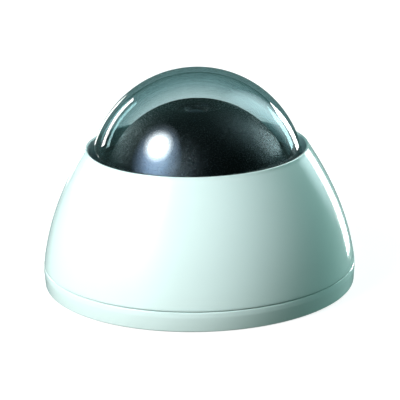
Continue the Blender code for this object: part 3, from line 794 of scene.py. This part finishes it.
def make_terminal():
    """Two screw wells from above, each met by a wire hole from the side."""
    angle = 60
    wells_out = (-3.0, 3.0)
    at = np.array(polar(PARTS_RING, angle, BOARD_SEAT + 4.2))
    across = np.array(polar(1, angle + 90, 0))
    inward = np.array(polar(1, angle + 180, 0))
    wells = []
    for side in wells_out:
        well = at + across * side
        wells.append(cylinder(well + (0, 0, 3.2), 2.0, 5.2, 40))
        hole = well + inward * 3.6 - (0, 0, 1.7)
        wells.append(block(hole, (5.0, 3.2, 2.6), radians(angle)))
    body = slab(at, (8.0, 12.0, 8.4), angle)
    nodes = ["terminal_block"]
    piece("wire_terminal", body, "base", "terminal_green", nodes, cut=[joined(wells)])
    places = [tuple(at + across * side + (0, 0, 2.6)) for side in wells_out]
    shape = screw_shape((1.6, 1.0), 1.0, 1.4)
    place_screws("wire_clamp_screw", shape, places, "base", "steel", "terminal_screw")


def make_video_outlet():
    angle = 121
    at = polar(PARTS_RING, angle, BOARD_SEAT + 3.5)
    pocket = block(at[:2] + (BOARD_SEAT + 7.0,), (6.2, 8.4, 9.0), radians(angle))
    shell = slab(at, (9.0, 11.0, 7.0), angle)
    piece("video_outlet", shell, "base", "grey_plastic", ["video_socket"], cut=[pocket])


def make_switches():
    """A row of windows, each with a lever pushed to one end or the other."""
    angle = 206
    at = np.array(polar(PARTS_RING, angle, BOARD_SEAT + 1.8))
    across = np.array(polar(1, angle + 90, 0))
    out = np.array(polar(0.75, angle, 0))
    windows = []
    levers = []
    for number, side in enumerate((-3.6, -1.2, 1.2, 3.6)):
        window = at + across * side
        windows.append(block(window + (0, 0, 1.8), (3.0, 1.1, 1.6), radians(angle)))
        lever = window + (out if number % 2 else -out) + (0, 0, 1.45)
        levers.append(slab(lever, (1.1, 0.9, 0.8), angle, 0.1, 0.05))
    body = slab(at, (6.0, 10.0, 3.6), angle)
    nodes = ["switch_block"]
    piece("setting_switches", body, "base", "switch_blue", nodes, cut=[joined(windows)])
    piece("setting_levers", joined(levers), "base", "white_plastic", [])


def make_chips():
    """Three chips with legs, and small resistors on two rings round the board."""
    chip_ring = 22.5
    chip_angles = (45, 165, 285)
    angle = 242
    regulator = slab(polar(PARTS_RING, angle, BOARD_SEAT + 1.1), (7.0, 7.0, 2.2), angle, 0.2, 0.2)
    piece("voltage_regulator", regulator, "base", "chip_black", ["regulator"])
    chips = []
    legs = []
    for angle in chip_angles:
        chip = polar(chip_ring, angle, BOARD_TOP + 0.55)
        chips.append(slab(chip, (4.0, 5.2, 0.9), angle, 0.1, 0.12))
        out = np.array(polar(1, angle, 0))
        across = np.array(polar(1, angle + 90, 0))
        for side in (-1, 1):
            for step in (-1.8, -0.6, 0.6, 1.8):
                foot = polar(chip_ring, angle, BOARD_TOP + 0.25)
                foot = out * side * 2.5 + across * step + foot
                legs.append(slab(foot, (1.1, 0.4, 0.5), angle, 0.05, 0.05))
    piece("board_chips", joined(chips), "base", "chip_black", [])
    small = []
    spots = [(18.0, a) for a in range(8, 368, 24)] + [(33.5, a) for a in range(20, 380, 15)]
    for number, (radius, angle) in enumerate(spots):
        near_screw = abs((angle + 60) % 120 - 60) < 10
        near_inlet = abs(angle - INLET_ANGLE) < 18
        if radius > BOARD_SCREW_RING and (near_screw or near_inlet):
            continue
        turn = angle + 90 * (number % 2)
        resistor = polar(radius, angle, BOARD_TOP + 0.38)
        small.append(slab(resistor, (1.5, 1.1, 0.62), turn, 0.08, 0.08))
        for side in (-0.75, 0.75):
            end = np.array(polar(side, turn, 0)) + polar(radius, angle, BOARD_TOP + 0.36)
            legs.append(slab(end, (0.4, 1.2, 0.6), turn, 0.08, 0.08))
    piece("chip_resistors", joined(small), "base", "chip_black", [])
    piece("solder_ends", joined(legs), "base", "steel", [])


def make_capacitors():
    """Cans with a rolled groove near the foot and three crossed vents on top."""
    top = 11.0
    can = [(0, 10.9, 0), (2.9, 10.9, 0.1), (3.1, top, 0.1), (3.9, top, 0.4), (4.0, 1.7, 0.3)]
    can += [(3.7, 1.2, 0.3), (4.0, 0.7, 0.3), (4.0, 0, 0.2), (0, 0, 0)]
    for number, angle in enumerate((0, 330), 1):
        place = polar(PARTS_RING, angle, BOARD_SEAT)
        vents = []
        for turn in (10, 70, 130):
            points, faces = block((0, 0, top), (4.6, 0.25, 0.5), radians(turn))
            vents.append((moved(points, place), faces))
        name = f"reservoir_capacitor_{number}"
        nodes = [f"capacitor_{number}"]
        sleeve = capped_can(place)
        piece(name, turned(can, place), "base", "chip_black", nodes, cut=vents, finish=sleeve)


def make_coil():
    """A flanged core, and five turns of wire of radius w about circles of radius R."""
    flange = 5.0
    height = 5
    bobbin = [(0, height, 0), (flange, height, 0.3), (flange, 3.9, 0.1), (3.6, 3.7, 0.1)]
    bobbin += [(3.6, 1.2, 0.1), (flange, 1.0, 0.1), (flange, 0, 0.2), (0, 0, 0)]
    place = polar(PARTS_RING, 178, BOARD_SEAT)
    piece("coil_core", turned(bobbin, place), "base", "grey_plastic", ["inductor"])
    wire = 0.24
    angle = np.linspace(0, 2 * pi, 12, endpoint=False)
    wires = []
    for layer in range(5):
        middle = 1.5 + 2 * wire * layer
        section = (4.25 - wire * np.cos(angle), middle + wire * np.sin(angle))
        wires.append(revolve(np.stack(section, 1), 64))
    points, faces = joined(wires)
    piece("coil_winding", (moved(points, place), faces), "base", "brass", [])


def capped_can(place):
    """Black sleeve with a pale stripe down one side and a bare metal top."""
    f = Finish("capacitor_sleeve", IOR=1.5)
    centred = f.node("VectorMath", {"operation": "SUBTRACT"}, {0: f.place, 1: Vector(place) * MM})
    x = f.node("SeparateXYZ", None, {0: centred})
    y, z = (Signal(f, x.socket.node.outputs[axis]) for axis in "YZ")
    reach = (x * x + y * y) ** 0.5
    cap = z.spread(0.0105, 0.0107) * (1 - reach.spread(0.0030, 0.0032))
    stripe = (y * -1).spread(0.0030, 0.0031)
    grain = f.noise(900, 3)
    sleeve = f.mix(stripe, (0.012, 0.012, 0.014), (0.42, 0.44, 0.46))
    f.put(Base_Color=f.mix(cap, sleeve, (0.7, 0.71, 0.72)), Metallic=cap)
    f.put(Roughness=0.32 + 0.15 * grain, Normal=f.bump(grain, 0.1, 0.00004))
    return f.material


def make_grommet():
    bore = 3.7
    neck = 6.2
    outline = [(bore, 4.0, 0.5), (7.4, 4.0, 0.5), (8.0, 3.2, 0.4), (8.0, 2.3, 0.2)]
    outline += [(neck, 2.3, 0.1), (neck, 0.2, 0.3), (bore, 0.2, 0.3)]
    points, faces = revolve(fillet(outline), 96)
    shape = (moved(points, polar(INLET_RING, INLET_ANGLE, 0)), faces)
    piece("inlet_grommet", shape, "base", "black_rubber", ["cable_grommet"])


# ---------------------------------------------------------------- turntable and frame


def arm_plan(half_width, low, radius, hang=False):
    """Straight sides from low up to a round end about the tilt axis, or the same hung down."""
    angle = np.linspace(0, pi, 25)
    end = np.stack((radius * np.cos(angle), radius * np.sin(angle)), 1)
    foot = low - TILT_HEIGHT
    plan = np.concatenate(([(-half_width, foot), (half_width, foot)], end))
    if hang:
        plan = plan * (-1, -1)
    return plan + (0, TILT_HEIGHT)


def arm(plan, inner, thick, side):
    """A plate between two distances from the axis on one side, with chamfered rims."""
    start = inner if side > 0 else -inner - thick
    levels = ((0, 0.2), (0.2, 0), (thick - 0.2, 0), (thick, 0.2))
    return loft(plan, [(start + height, inset) for height, inset in levels], stand=True)


def make_turntable():
    yoke = 26.5
    thick = 2.5
    outline = [(5.5, 11.0, 0.4), (20.0, 11.0, 0.4), (20.0, 9.0, 0.4), (8.0, 9.0, 0.2)]
    outline += [(8.0, 1.9, 0.1), (7.0, 1.9, 0.1), (7.0, 0.5, 0.2), (5.5, 0.5, 0.2)]
    sides = (-1, 1)
    bars = [slab((side * 18.95, 0, 10.3), (20.0, 15.0, 2.2), 0, 0.8, 0.25) for side in sides]
    arms = [arm(arm_plan(6.0, 9.6, 5.0), yoke, thick, side) for side in sides]
    rib = (9.0, 0.8, 0.9)
    ribs = [block((side * 22.3, y, 11.75), rib) for side in sides for y in (-4.6, 4.6)]
    middle = yoke + thick / 2
    holes = [cylinder((side * middle, 0, TILT_HEIGHT), 1.8, 6, 48, "X") for side in sides]
    holes.append(cylinder((0, PAN_SCREW_OUT, 10), 1.5, 4, 32))
    join = [*bars, *arms, joined(ribs)]
    nodes = ["pan_turntable"]
    cut = [joined(holes)]
    ring_piece("turntable", outline, "turntable", "grey_plastic", nodes, 160, join=join, cut=cut)
    clip = [(7.3, 1.6, 0.15), (10.4, 1.6, 0.15), (10.4, 0.8, 0.15), (7.3, 0.8, 0.15)]
    nodes = ["pan_retaining_ring"]
    ring_piece("turntable_clip", clip, "turntable", "steel", nodes, 96)
    washer = [(1.8, 0.5, 0.08), (3.2, 0.5, 0.08), (3.2, 0, 0.08), (1.8, 0, 0.08)]
    points, faces = revolve(fillet(washer), 48)
    screw, screw_faces = screw_shape((2.6, 1.2), 1.5, 6.2)
    for label, side in (("left", -1), ("right", 1)):
        start = side * (yoke + thick + 0.3)
        put = (moved(points, (start, 0, TILT_HEIGHT), lean=side * pi / 2), faces)
        nodes = [f"friction_washer_{label}"]
        piece(f"pivot_washer_{label}", put, "turntable", "steel", nodes)
        place = (start + side * 0.8, 0, TILT_HEIGHT)
        put = (moved(screw, place, lean=side * pi / 2), screw_faces)
        nodes = [f"tilt_lock_screw_{label}"]
        piece(f"tilt_screw_{label}", put, f"tilt_lock_{label}", "steel", nodes)
    shape = screw_shape((3.0, 2.2), 1.2, 2.3, knurl=30)
    places = [(0, PAN_SCREW_OUT, 11.3)]
    place_screws("pan_screw", shape, places, "pan_lock", "brass", "pan_lock_screw")


def make_frame():
    low = 44.0
    high = 46.0
    inner = 14.3
    outer = 27.0
    sides = (-1, 1)
    outline = [(inner, high, 0.3), (outer, high, 0.4), (outer, low, 0.4), (inner, low, 0.3)]
    plan = arm_plan(4.0, 17.4, 4.0, hang=True)
    lugs = [arm(plan, 23.4, 2.8, side) for side in sides]
    holes = [cylinder((side * 24.8, 0, TILT_HEIGHT), 1.8, 6, 48, "X") for side in sides]
    holes += [cylinder(polar(BALL_SCREW_RING, a, 45), 1.2, 4, 24) for a in BALL_SCREW_ANGLES]
    nodes = ["tilt_frame"]
    cut = [joined(holes)]
    ring_piece("tilt_ring", outline, "ball", "grey_plastic", nodes, 160, join=lugs, cut=cut)
    places = [polar(BALL_SCREW_RING, a, low - 0.3) for a in BALL_SCREW_ANGLES]
    shape = screw_shape((2.0, 1.3), 0.8, 5.2)
    place_screws("liner_screw", shape, places, "ball", "steel", "ball_screw", flip=True)
    places = [polar(CLAMP_RING, a, 34.1) for a in CLAMP_ANGLES]
    shape = screw_shape((1.9, 1.3), 0.8, 4.4)
    place_screws("dome_screw", shape, places, "cover", "steel", "clamp_screw", flip=True)


# ---------------------------------------------------------------- camera head


def head_corners():
    """The two opposite corners where screws and posts go through the head's boards."""
    return [(side * HEAD_PITCH, side * HEAD_PITCH) for side in (-1, 1)]


def board_slab(low):
    """A square board with rounded corners that stands from a height up."""
    side = 28.0
    middle = low + HEAD_BOARD_THICK / 2
    return slab((0, 0, middle), (side, side, HEAD_BOARD_THICK), 0, 2.0, 0.08)


def make_head():
    outline = [(9.2, 47.8, 0.3), (16.5, 47.8, 0.4), (16.5, 46.3, 0.3), (14.0, 46.3, 0.1)]
    outline += [(14.0, 38.0, 0.3), (9.2, 38.0, 0.3)]
    bosses = joined([cylinder((x, y, 39.5), 2.4, 5.0, 40) for x, y in head_corners()])
    holes = joined([cylinder((x, y, 38.7), 1.1, 4.6, 24) for x, y in head_corners()])
    changes = {"join": [bosses], "cut": [holes]}
    ring_piece("head_tube", outline, "head", "aluminium", ["head_chassis"], 128, **changes)
    clip = [(14.3, 43.7, 0.2), (16.9, 43.7, 0.2), (16.9, 42.6, 0.2), (14.3, 42.6, 0.2)]
    ring_piece("head_clip", clip, "head", "steel", ["head_retaining_ring"], 128)
    holder = [(6.2, 52.0, 0.2), (8.9, 52.0, 0.3), (8.9, 49.6, 0.1), (10.8, 49.6, 0.2)]
    holder += [(10.8, 48.1, 0.2), (8.9, 48.1, 0.1), (8.9, 38.3, 0.3), (6.2, 38.3, 0.3)]
    ring_piece("lens_mount", holder, "head", "black_plastic", ["lens_holder"], 96)
    lock = [(6.2, 53.1, 0.1), (7.9, 53.1, 0.2), (7.9, 52.3, 0.2), (6.2, 52.3, 0.1)]
    notches = []
    for angle in range(0, 360, 45):
        notches.append(block(polar(7.9, angle, 52.7), (0.9, 0.9, 2.0), radians(angle)))
    nodes = ["lens_lock_ring"]
    ring_piece("lens_lock_nut", lock, "head", "aluminium", nodes, 96, cut=[joined(notches)])


def make_head_boards():
    sensor_low = SENSOR_BOARD_LOW
    chip_low = CHIP_BOARD_LOW
    thick = HEAD_BOARD_THICK
    holes = joined([cylinder((x, y, sensor_low), 1.3, 6, 24) for x, y in head_corners()])
    nodes = ["sensor_board"]
    piece("imager_board", board_slab(sensor_low), "head", "board_green", nodes, cut=[holes])
    piece("picture_board", board_slab(chip_low), "head", "board_green", ["processor_board"])
    shape = screw_shape((1.9, 1.3), 0.8, 5.0)
    places = [(x, y, sensor_low - 0.3) for x, y in head_corners()]
    place_screws("board_screw_upper", shape, places, "head", "steel", "sensor_screw", flip=True)

    stand = chip_low + thick + 0.3
    between = sensor_low - chip_low - thick - 0.6
    post = [(0, between, 0), (2.2, between, 0.2), (2.2, 0, 0.2), (0, 0, 0)]
    points, faces = revolve(fillet(post, 3, closed=False), 6)
    for number, side in enumerate((-1, 1), 1):
        put = (moved(points, (side * HEAD_PITCH, -side * HEAD_PITCH, stand)), faces)
        piece(f"board_post_{number}", put, "head", "brass", [f"standoff_{number}"])
    link = slab((0, 8.5, stand + between / 2), (15.0, 3.6, between), 0, 0.3, 0.2)
    piece("board_link", link, "head", "chip_black", ["board_connector"])
    chip = slab((0, -2.0, stand + 0.65), (11.0, 11.0, 1.3), 0, 0.2, 0.2)
    piece("picture_chip", chip, "head", "chip_black", ["processor_chip"])
    top = chip_low - 0.3
    inlet = -8.0
    socket = slab((0, inlet, top - 1.9), (9.0, 4.6, 3.8), 0, 0.3, 0.2)
    pocket = block((0, inlet, top - 3.8), (7.4, 3.0, 5.0))
    piece("lead_inlet", socket, "head", "white_plastic", ["lead_socket"], cut=[pocket])
    pin = (0.4, 0.4, 1.8)
    pins = [block((x, inlet, top - 2.2), pin) for x in (-2.7, -0.9, 0.9, 2.7)]
    piece("lead_pins", joined(pins), "head", "brass", [])


def make_head_small_parts():
    """A row of resistors along one side of each board, and the picture sensor."""
    rows = ((SENSOR_BOARD_LOW, -11.6), (CHIP_BOARD_LOW, 11.9))
    small = []
    ends = []
    for number in range(1, 8):
        x = -10.0 + 2.5 * number
        for board, y in rows:
            low = board + HEAD_BOARD_THICK
            small.append(slab((x, y, low + 0.3), (1.2, 0.9, 0.5), 0, 0.06, 0.06))
            for side in (-0.62, 0.62):
                ends.append(slab((x + side, y, low + 0.28), (0.3, 0.95, 0.5), 0, 0.05, 0.05))
    piece("head_resistors", joined(small), "head", "chip_black", [])
    piece("head_solder", joined(ends), "head", "steel", [])
    sensor_top = SENSOR_BOARD_LOW + HEAD_BOARD_THICK + 0.3
    sensor = slab((0, 0, sensor_top + 0.5), (9.0, 9.0, 1.0), 0, 0.2, 0.1)
    piece("picture_sensor", sensor, "head", "sensor_glass", ["image_sensor"])


# ---------------------------------------------------------------- ball and lens


def make_ball(settings):
    """Outer and inner arcs about the tilt axis, closed by the skirt and the recess's cone."""
    recess_radius = 10.2
    floor = 62.4
    hole = 6.75
    wall = 1.6
    rise = sqrt(BALL_RADIUS**2 - recess_radius**2)
    skirt = level_angle(BALL_RADIUS, SKIRT_HEIGHT - TILT_HEIGHT)
    outer = arc(TILT_HEIGHT, BALL_RADIUS, level_angle(BALL_RADIUS, rise), skirt, 96)
    outer[0, 2] = 0.5
    outer[-1, 2] = 0.4
    inner_radius = BALL_RADIUS - wall
    boss_low = floor - 1.5
    start = level_angle(inner_radius, SKIRT_HEIGHT - TILT_HEIGHT)
    end = level_angle(inner_radius, boss_low - TILT_HEIGHT)
    inner = arc(TILT_HEIGHT, inner_radius, start, end, 60)
    funnel = [(hole, boss_low, 0.2), (hole, floor, 0.2)]
    shell = revolve(fillet(np.concatenate((outer, inner, funnel))), settings.turns)
    places = [polar(BALL_SCREW_RING, a, 0) for a in BALL_SCREW_ANGLES]
    posts = joined([cylinder((x, y, 48.85), 2.5, 5.1) for x, y, _ in places])
    holes = joined([cylinder((x, y, 47.6), 1.1, 4.0, 24) for x, y, _ in places])
    piece("ball_liner", shell, "ball", "black_plastic", ["liner_ball"], [posts], [holes])


def make_lens():
    """A tube with a stepped bore, and two glasses, each a circle arc turned about the axis."""
    front = FRONT_HIGH[0]
    top = FRONT_HIGH[2]
    low = FRONT_LOW[2]
    bore = 4.6
    thread = 5.9
    outline = [
        (2.95, top - 1.1, 0.1),
        (4.1, top - 0.35, 0.15),
        (4.4, top, 0.15),
        (front, top, 0.3),
        (front, 53.4, 0.2),
        (thread, 53.4, 0.1),
        (thread, low, 0.3),
        (bore, low, 0.2),
        (bore, top - 1.8, 0.2),
        (2.95, top - 1.5, 0.1),
    ]
    grip = []
    for angle in range(0, 360, 15):
        grip.append(block(polar(front, angle, 56.5), (0.5, 0.35, 4.5), radians(angle)))
    nodes = ["lens_barrel"]
    ring_piece("lens_tube", outline, "lens", "black_plastic", nodes, 96, cut=[joined(grip)])
    sphere = 7.0
    edge = 4.3
    crown = arc(40.4 + sphere, sphere, -pi / 2, -np.arccos(edge / sphere), 14)
    outline = np.concatenate(([(0, 42.6, 0), (edge, 42.6, 0.1)], crown[::-1]))
    outline[-1, 0] = 0
    shape = revolve(fillet(outline, closed=False), 64)
    piece("lens_rear_glass", shape, "lens", "lens_glass", ["rear_lens"])
    sphere = 5.2
    edge = 2.9
    base_height = top - 1.35
    sag = sphere - sqrt(sphere**2 - edge**2)
    middle = base_height + 0.3 + sag - sphere
    crown = arc(middle, sphere, pi / 2, np.arccos(edge / sphere), 24)
    outline = np.concatenate((crown, [(edge, base_height, 0), (0, base_height, 0)]))
    outline[0, 0] = 0
    piece("lens_front_glass", revolve(outline, 64), "lens", "lens_glass", ["front_lens"])


# ---------------------------------------------------------------- carried-over nodes


def finish_nodes():
    """Give every CAD node that still shows the finish of its slot."""
    slots = {part["node"]: part["material_slot"] for part in frame["record"]["subparts"]}
    for name, node in frame["nodes"].items():
        node.data.materials.clear()
        node.data.materials.append(finish_of(slots[name]))


# ---------------------------------------------------------------- stage


def stage_floor(colour):
    half = 6.0
    low = -0.0003
    corners = [[-half, -half, low], [half, -half, low], [half, half, low], [-half, half, low]]
    floor = mesh_object("floor", (corners, [[0, 1, 2, 3]]))
    f = Finish("pale_floor", Roughness=0.9)
    f.put(Base_Color=colour, Emission_Color=(1, 1, 1), Emission_Strength=0.85)
    floor.data.materials.append(f.material)
    floor.visible_diffuse = False
    floor.visible_glossy = False
    floor.visible_shadow = False


def stage_world(ambient, backdrop):
    """White to the camera, the ambient light on surfaces, and dark in front in reflections."""
    world = bpy.data.worlds.new("studio")
    world.use_nodes = True
    bpy.context.scene.world = world
    world.node_tree.nodes.clear()
    g = Graph(world.node_tree)
    direction = g.node("TexCoord", out="Generated")
    along = g.node("SeparateXYZ", None, {0: direction}, out="Y").spread(-0.3, 0.5)
    reflected = g.mix(along, (0.005, 0.009, 0.009), (0.11, 0.2, 0.19))
    height = g.node("SeparateXYZ", None, {0: direction}, out="Z").spread(-0.4, 0.5)
    around = g.mix(height, tuple(c * 0.36 for c in ambient), ambient)
    colour = g.mix(g.node("LightPath", out="Is Glossy Ray"), around, reflected)
    colour = g.mix(g.node("LightPath", out="Is Camera Ray"), colour, backdrop)
    background = g.node("Background", None, {"Color": colour})
    g.node("OutputWorld", None, {"Surface": background})


def stage_camera(settings):
    data = bpy.data.cameras.new("camera")
    data.lens = settings.lens
    data.clip_start = 0.01
    camera = bpy.data.objects.new("camera", data)
    bpy.context.scene.collection.objects.link(camera)
    aim = Vector((0.00069, -0.00169, 0.02942))
    away = Vector((0, -cos(settings.elevation), sin(settings.elevation)))
    camera.location = MIDDLE + away * settings.distance
    look = (aim - camera.location).to_track_quat("-Z", "Y").to_matrix().to_4x4()
    look = look @ Matrix.Rotation(settings.roll, 4, "Z")
    camera.rotation_euler = look.to_euler()
    bpy.context.scene.camera = camera


def studio_light(name, place, radiance, stops=None, tint=(1, 1, 1), tilt=0.0, **seen):
    """An area light that faces the object, put at (azimuth, elevation, distance, width, height).

    Radiance L needs pi L times its area in watts. Stops, when given, make its colour fall
    off from the middle to the edge. Seen says which rays meet it.
    """
    azimuth, elevation, distance, width, height = place
    level = distance * cos(radians(elevation))
    rise = distance * sin(radians(elevation))
    light = bpy.data.lights.new(name, "AREA")
    light.shape = "RECTANGLE"
    light.size = width
    light.size_y = height
    light.energy = radiance * pi * width * height
    light.color = tint
    obj = bpy.data.objects.new(name, light)
    bpy.context.scene.collection.objects.link(obj)
    obj.location = Vector(polar(level, azimuth, rise)) + MIDDLE
    turn = (MIDDLE - obj.location).to_track_quat("-Z", "Y").to_matrix()
    obj.rotation_euler = (turn @ Matrix.Rotation(tilt, 3, "Z")).to_euler()
    obj.visible_camera = False
    obj.visible_glossy = seen.get("glossy", True)
    obj.visible_diffuse = seen.get("diffuse", True)
    if stops:
        light.use_nodes = True
        light.node_tree.nodes.clear()
        g = Graph(light.node_tree)
        across = g.node("NewGeometry", out="Parametric")
        centred = g.node("VectorMath", {"operation": "SUBTRACT"}, {0: across, 1: (0.5, 0.5, 0)})
        out = g.node("VectorMath", {"operation": "LENGTH"}, {0: centred}, out="Value") * 2
        falloff = g.node("ValToRGB", {"stops": stops}, {0: out})
        shine = g.node("Emission", None, {"Color": falloff})
        g.node("OutputLight", None, {"Surface": shine})


def make_stage(settings):
    bpy.context.scene.view_settings.view_transform = "Standard"
    stage_camera(settings)
    stage_floor(settings.floor_colour)
    stage_world(settings.ambient, (1, 1, 1))
    power = settings.light_power
    black = (0, 0, 0)
    white = (1, 1, 1)
    hot = ((0.0, white), (0.34, (0.96, 0.96, 0.96)), (0.5, (0.36, 0.40, 0.42)))
    hot += ((0.68, (0.04, 0.05, 0.06)), (1.0, black))
    soft = ((0.0, white), (0.5, (0.6, 0.6, 0.6)), (1.0, black))
    glow = ((0.0, white), (0.3, (0.8, 0.8, 0.8)), (0.6, (0.33, 0.33, 0.33)), (1.0, black))
    blue = (0.42, 0.64, 1.0)
    pale_blue = (0.75, 0.95, 1.0)
    teal = (0.62, 1.0, 0.93)
    warm = (1.0, 0.93, 0.84)
    place = (-144, 39, 0.8, 0.7, 0.7)
    studio_light("key", place, 24 * power, hot)
    place = (-140, 25, 0.83, 0.88, 1.05)
    studio_light("key_low", place, 6.5 * power, glow, blue, diffuse=False)
    place = (54, 0, 0.7, 0.13, 0.36)
    studio_light("right_strip", place, 14 * power)
    place = (42, 28, 0.7, 0.36, 0.9)
    studio_light("right_haze", place, 4.5 * power, soft, pale_blue, diffuse=False)
    place = (47, 0, 0.8, 0.8, 0.8)
    studio_light("right_fill", place, 3.7 * power, None, teal, glossy=False)
    place = (-140, 2, 0.8, 0.6, 0.6)
    studio_light("front_fill", place, 2.35 * power, None, warm, glossy=False)
    place = (132, 14.5, 0.65, 0.07, 0.3)
    studio_light("left_blade", place, 10 * power, tilt=radians(36))
    place = (109, -3, 0.65, 0.06, 0.16)
    studio_light("left_edge", place, 5 * power)


# ---------------------------------------------------------------- add-on


class DomeCameraSettings(bpy.types.PropertyGroup):
    turns: bpy.props.IntProperty(
        name="Steps Round", description="Faces round each large turned piece", default=240, min=24
    )
    wall: bpy.props.FloatProperty(
        name="Cover Wall", description="Thickness of the cover's wall, in millimetres", default=2.0
    )
    dome_wall: bpy.props.FloatProperty(
        name="Dome Wall", description="Thickness of the clear dome, in millimetres", default=1.8
    )
    housing_colour: bpy.props.FloatVectorProperty(
        name="Housing Colour",
        description="Colour of the cover and the base",
        subtype="COLOR",
        default=(0.76, 0.90, 0.89),
    )
    ball_colour: bpy.props.FloatVectorProperty(
        name="Ball Colour",
        description="Colour of the black inner ball",
        subtype="COLOR",
        default=(0.003, 0.004, 0.004),
    )
    dome_tint: bpy.props.FloatVectorProperty(
        name="Dome Tint",
        description="What one surface of the clear dome lets through, face on",
        subtype="COLOR",
        default=(0.835, 0.885, 0.89),
    )
    dome_edge_tint: bpy.props.FloatVectorProperty(
        name="Dome Edge Tint",
        description="What one surface of the clear dome lets through, edge on",
        subtype="COLOR",
        default=(0.45, 0.59, 0.60),
    )
    floor_colour: bpy.props.FloatVectorProperty(
        name="Floor Colour",
        description="Colour of the floor",
        subtype="COLOR",
        default=(0.3, 0.3, 0.3),
    )
    ambient: bpy.props.FloatVectorProperty(
        name="Ambient Light",
        description="Colour of the light from all round",
        subtype="COLOR",
        default=(0.12, 0.23, 0.205),
    )
    light_power: bpy.props.FloatProperty(
        name="Light Power", description="Scales every studio light", default=1.0, min=0.0
    )
    lens: bpy.props.FloatProperty(
        name="Focal Length", description="Focal length of the camera", default=178.1, unit="CAMERA"
    )
    distance: bpy.props.FloatProperty(
        name="Distance", description="From the camera to the object", default=0.7, unit="LENGTH"
    )
    elevation: bpy.props.FloatProperty(
        name="Elevation",
        description="Height of the camera above the horizon",
        default=radians(16.885),
        subtype="ANGLE",
    )
    roll: bpy.props.FloatProperty(
        name="Roll",
        description="Turn of the camera about its view",
        default=radians(-1.182),
        subtype="ANGLE",
    )


class HousingOperator(bpy.types.Operator):
    """Make the cover, the clear dome and what clamps it"""

    bl_idname = "dome_camera.housing"
    bl_label = "Make Housing"

    def execute(self, context):
        make_housing(context.scene.dome_camera)
        return {"FINISHED"}


class BaseOperator(bpy.types.Operator):
    """Make the base, its seal and the lead's grommet"""

    bl_idname = "dome_camera.base"
    bl_label = "Make Base"

    def execute(self, context):
        make_base(context.scene.dome_camera)
        make_grommet()
        return {"FINISHED"}


class BoardOperator(bpy.types.Operator):
    """Make the board in the base and what stands on it"""

    bl_idname = "dome_camera.board"
    bl_label = "Make Board"

    def execute(self, context):
        make_mains_board()
        make_terminal()
        make_video_outlet()
        make_switches()
        make_chips()
        make_capacitors()
        make_coil()
        return {"FINISHED"}


class TurntableOperator(bpy.types.Operator):
    """Make the turntable, the tilting frame and their screws"""

    bl_idname = "dome_camera.turntable"
    bl_label = "Make Turntable"

    def execute(self, context):
        make_turntable()
        make_frame()
        return {"FINISHED"}


class HeadOperator(bpy.types.Operator):
    """Make the camera head with its boards"""

    bl_idname = "dome_camera.head"
    bl_label = "Make Head"

    def execute(self, context):
        make_head()
        make_head_boards()
        make_head_small_parts()
        return {"FINISHED"}


class BallOperator(bpy.types.Operator):
    """Make the black ball that holds the lens"""

    bl_idname = "dome_camera.ball"
    bl_label = "Make Ball"

    def execute(self, context):
        make_ball(context.scene.dome_camera)
        return {"FINISHED"}


class LensOperator(bpy.types.Operator):
    """Make the lens tube and its front glass"""

    bl_idname = "dome_camera.lens"
    bl_label = "Make Lens"

    def execute(self, context):
        make_lens()
        return {"FINISHED"}


class FinishOperator(bpy.types.Operator):
    """Give the remaining parts of the model their finishes"""

    bl_idname = "dome_camera.finish_nodes"
    bl_label = "Finish Inner Parts"

    def execute(self, context):
        finish_nodes()
        return {"FINISHED"}


class StageOperator(bpy.types.Operator):
    """Make the floor, the lights and the camera"""

    bl_idname = "dome_camera.stage"
    bl_label = "Make Stage"

    def execute(self, context):
        make_stage(context.scene.dome_camera)
        return {"FINISHED"}


OPERATORS = (
    HousingOperator,
    BaseOperator,
    BoardOperator,
    TurntableOperator,
    BallOperator,
    HeadOperator,
    LensOperator,
    FinishOperator,
    StageOperator,
)


class DomeCameraPanel(bpy.types.Panel):
    bl_idname = "VIEW3D_PT_dome_camera"
    bl_label = "Dome Camera"
    bl_space_type = "VIEW_3D"
    bl_region_type = "UI"
    bl_category = "Dome Camera"

    def draw(self, context):
        settings = context.scene.dome_camera
        for name in settings.__annotations__:
            self.layout.prop(settings, name)
        for operator in OPERATORS:
            self.layout.operator(operator.bl_idname)


CLASSES = (DomeCameraSettings, *OPERATORS, DomeCameraPanel)


def register():
    for cls in CLASSES:
        bpy.utils.register_class(cls)
    bpy.types.Scene.dome_camera = bpy.props.PointerProperty(type=DomeCameraSettings)


def unregister():
    del bpy.types.Scene.dome_camera
    for cls in reversed(CLASSES):
        bpy.utils.unregister_class(cls)


def main():
    register()
    bpy.ops.dome_camera.stage()
    bpy.ops.dome_camera.housing()
    bpy.ops.dome_camera.base()
    bpy.ops.dome_camera.board()
    bpy.ops.dome_camera.turntable()
    bpy.ops.dome_camera.ball()
    bpy.ops.dome_camera.head()
    bpy.ops.dome_camera.lens()
    bpy.ops.dome_camera.finish_nodes()


if __name__ == "__main__":
    main()
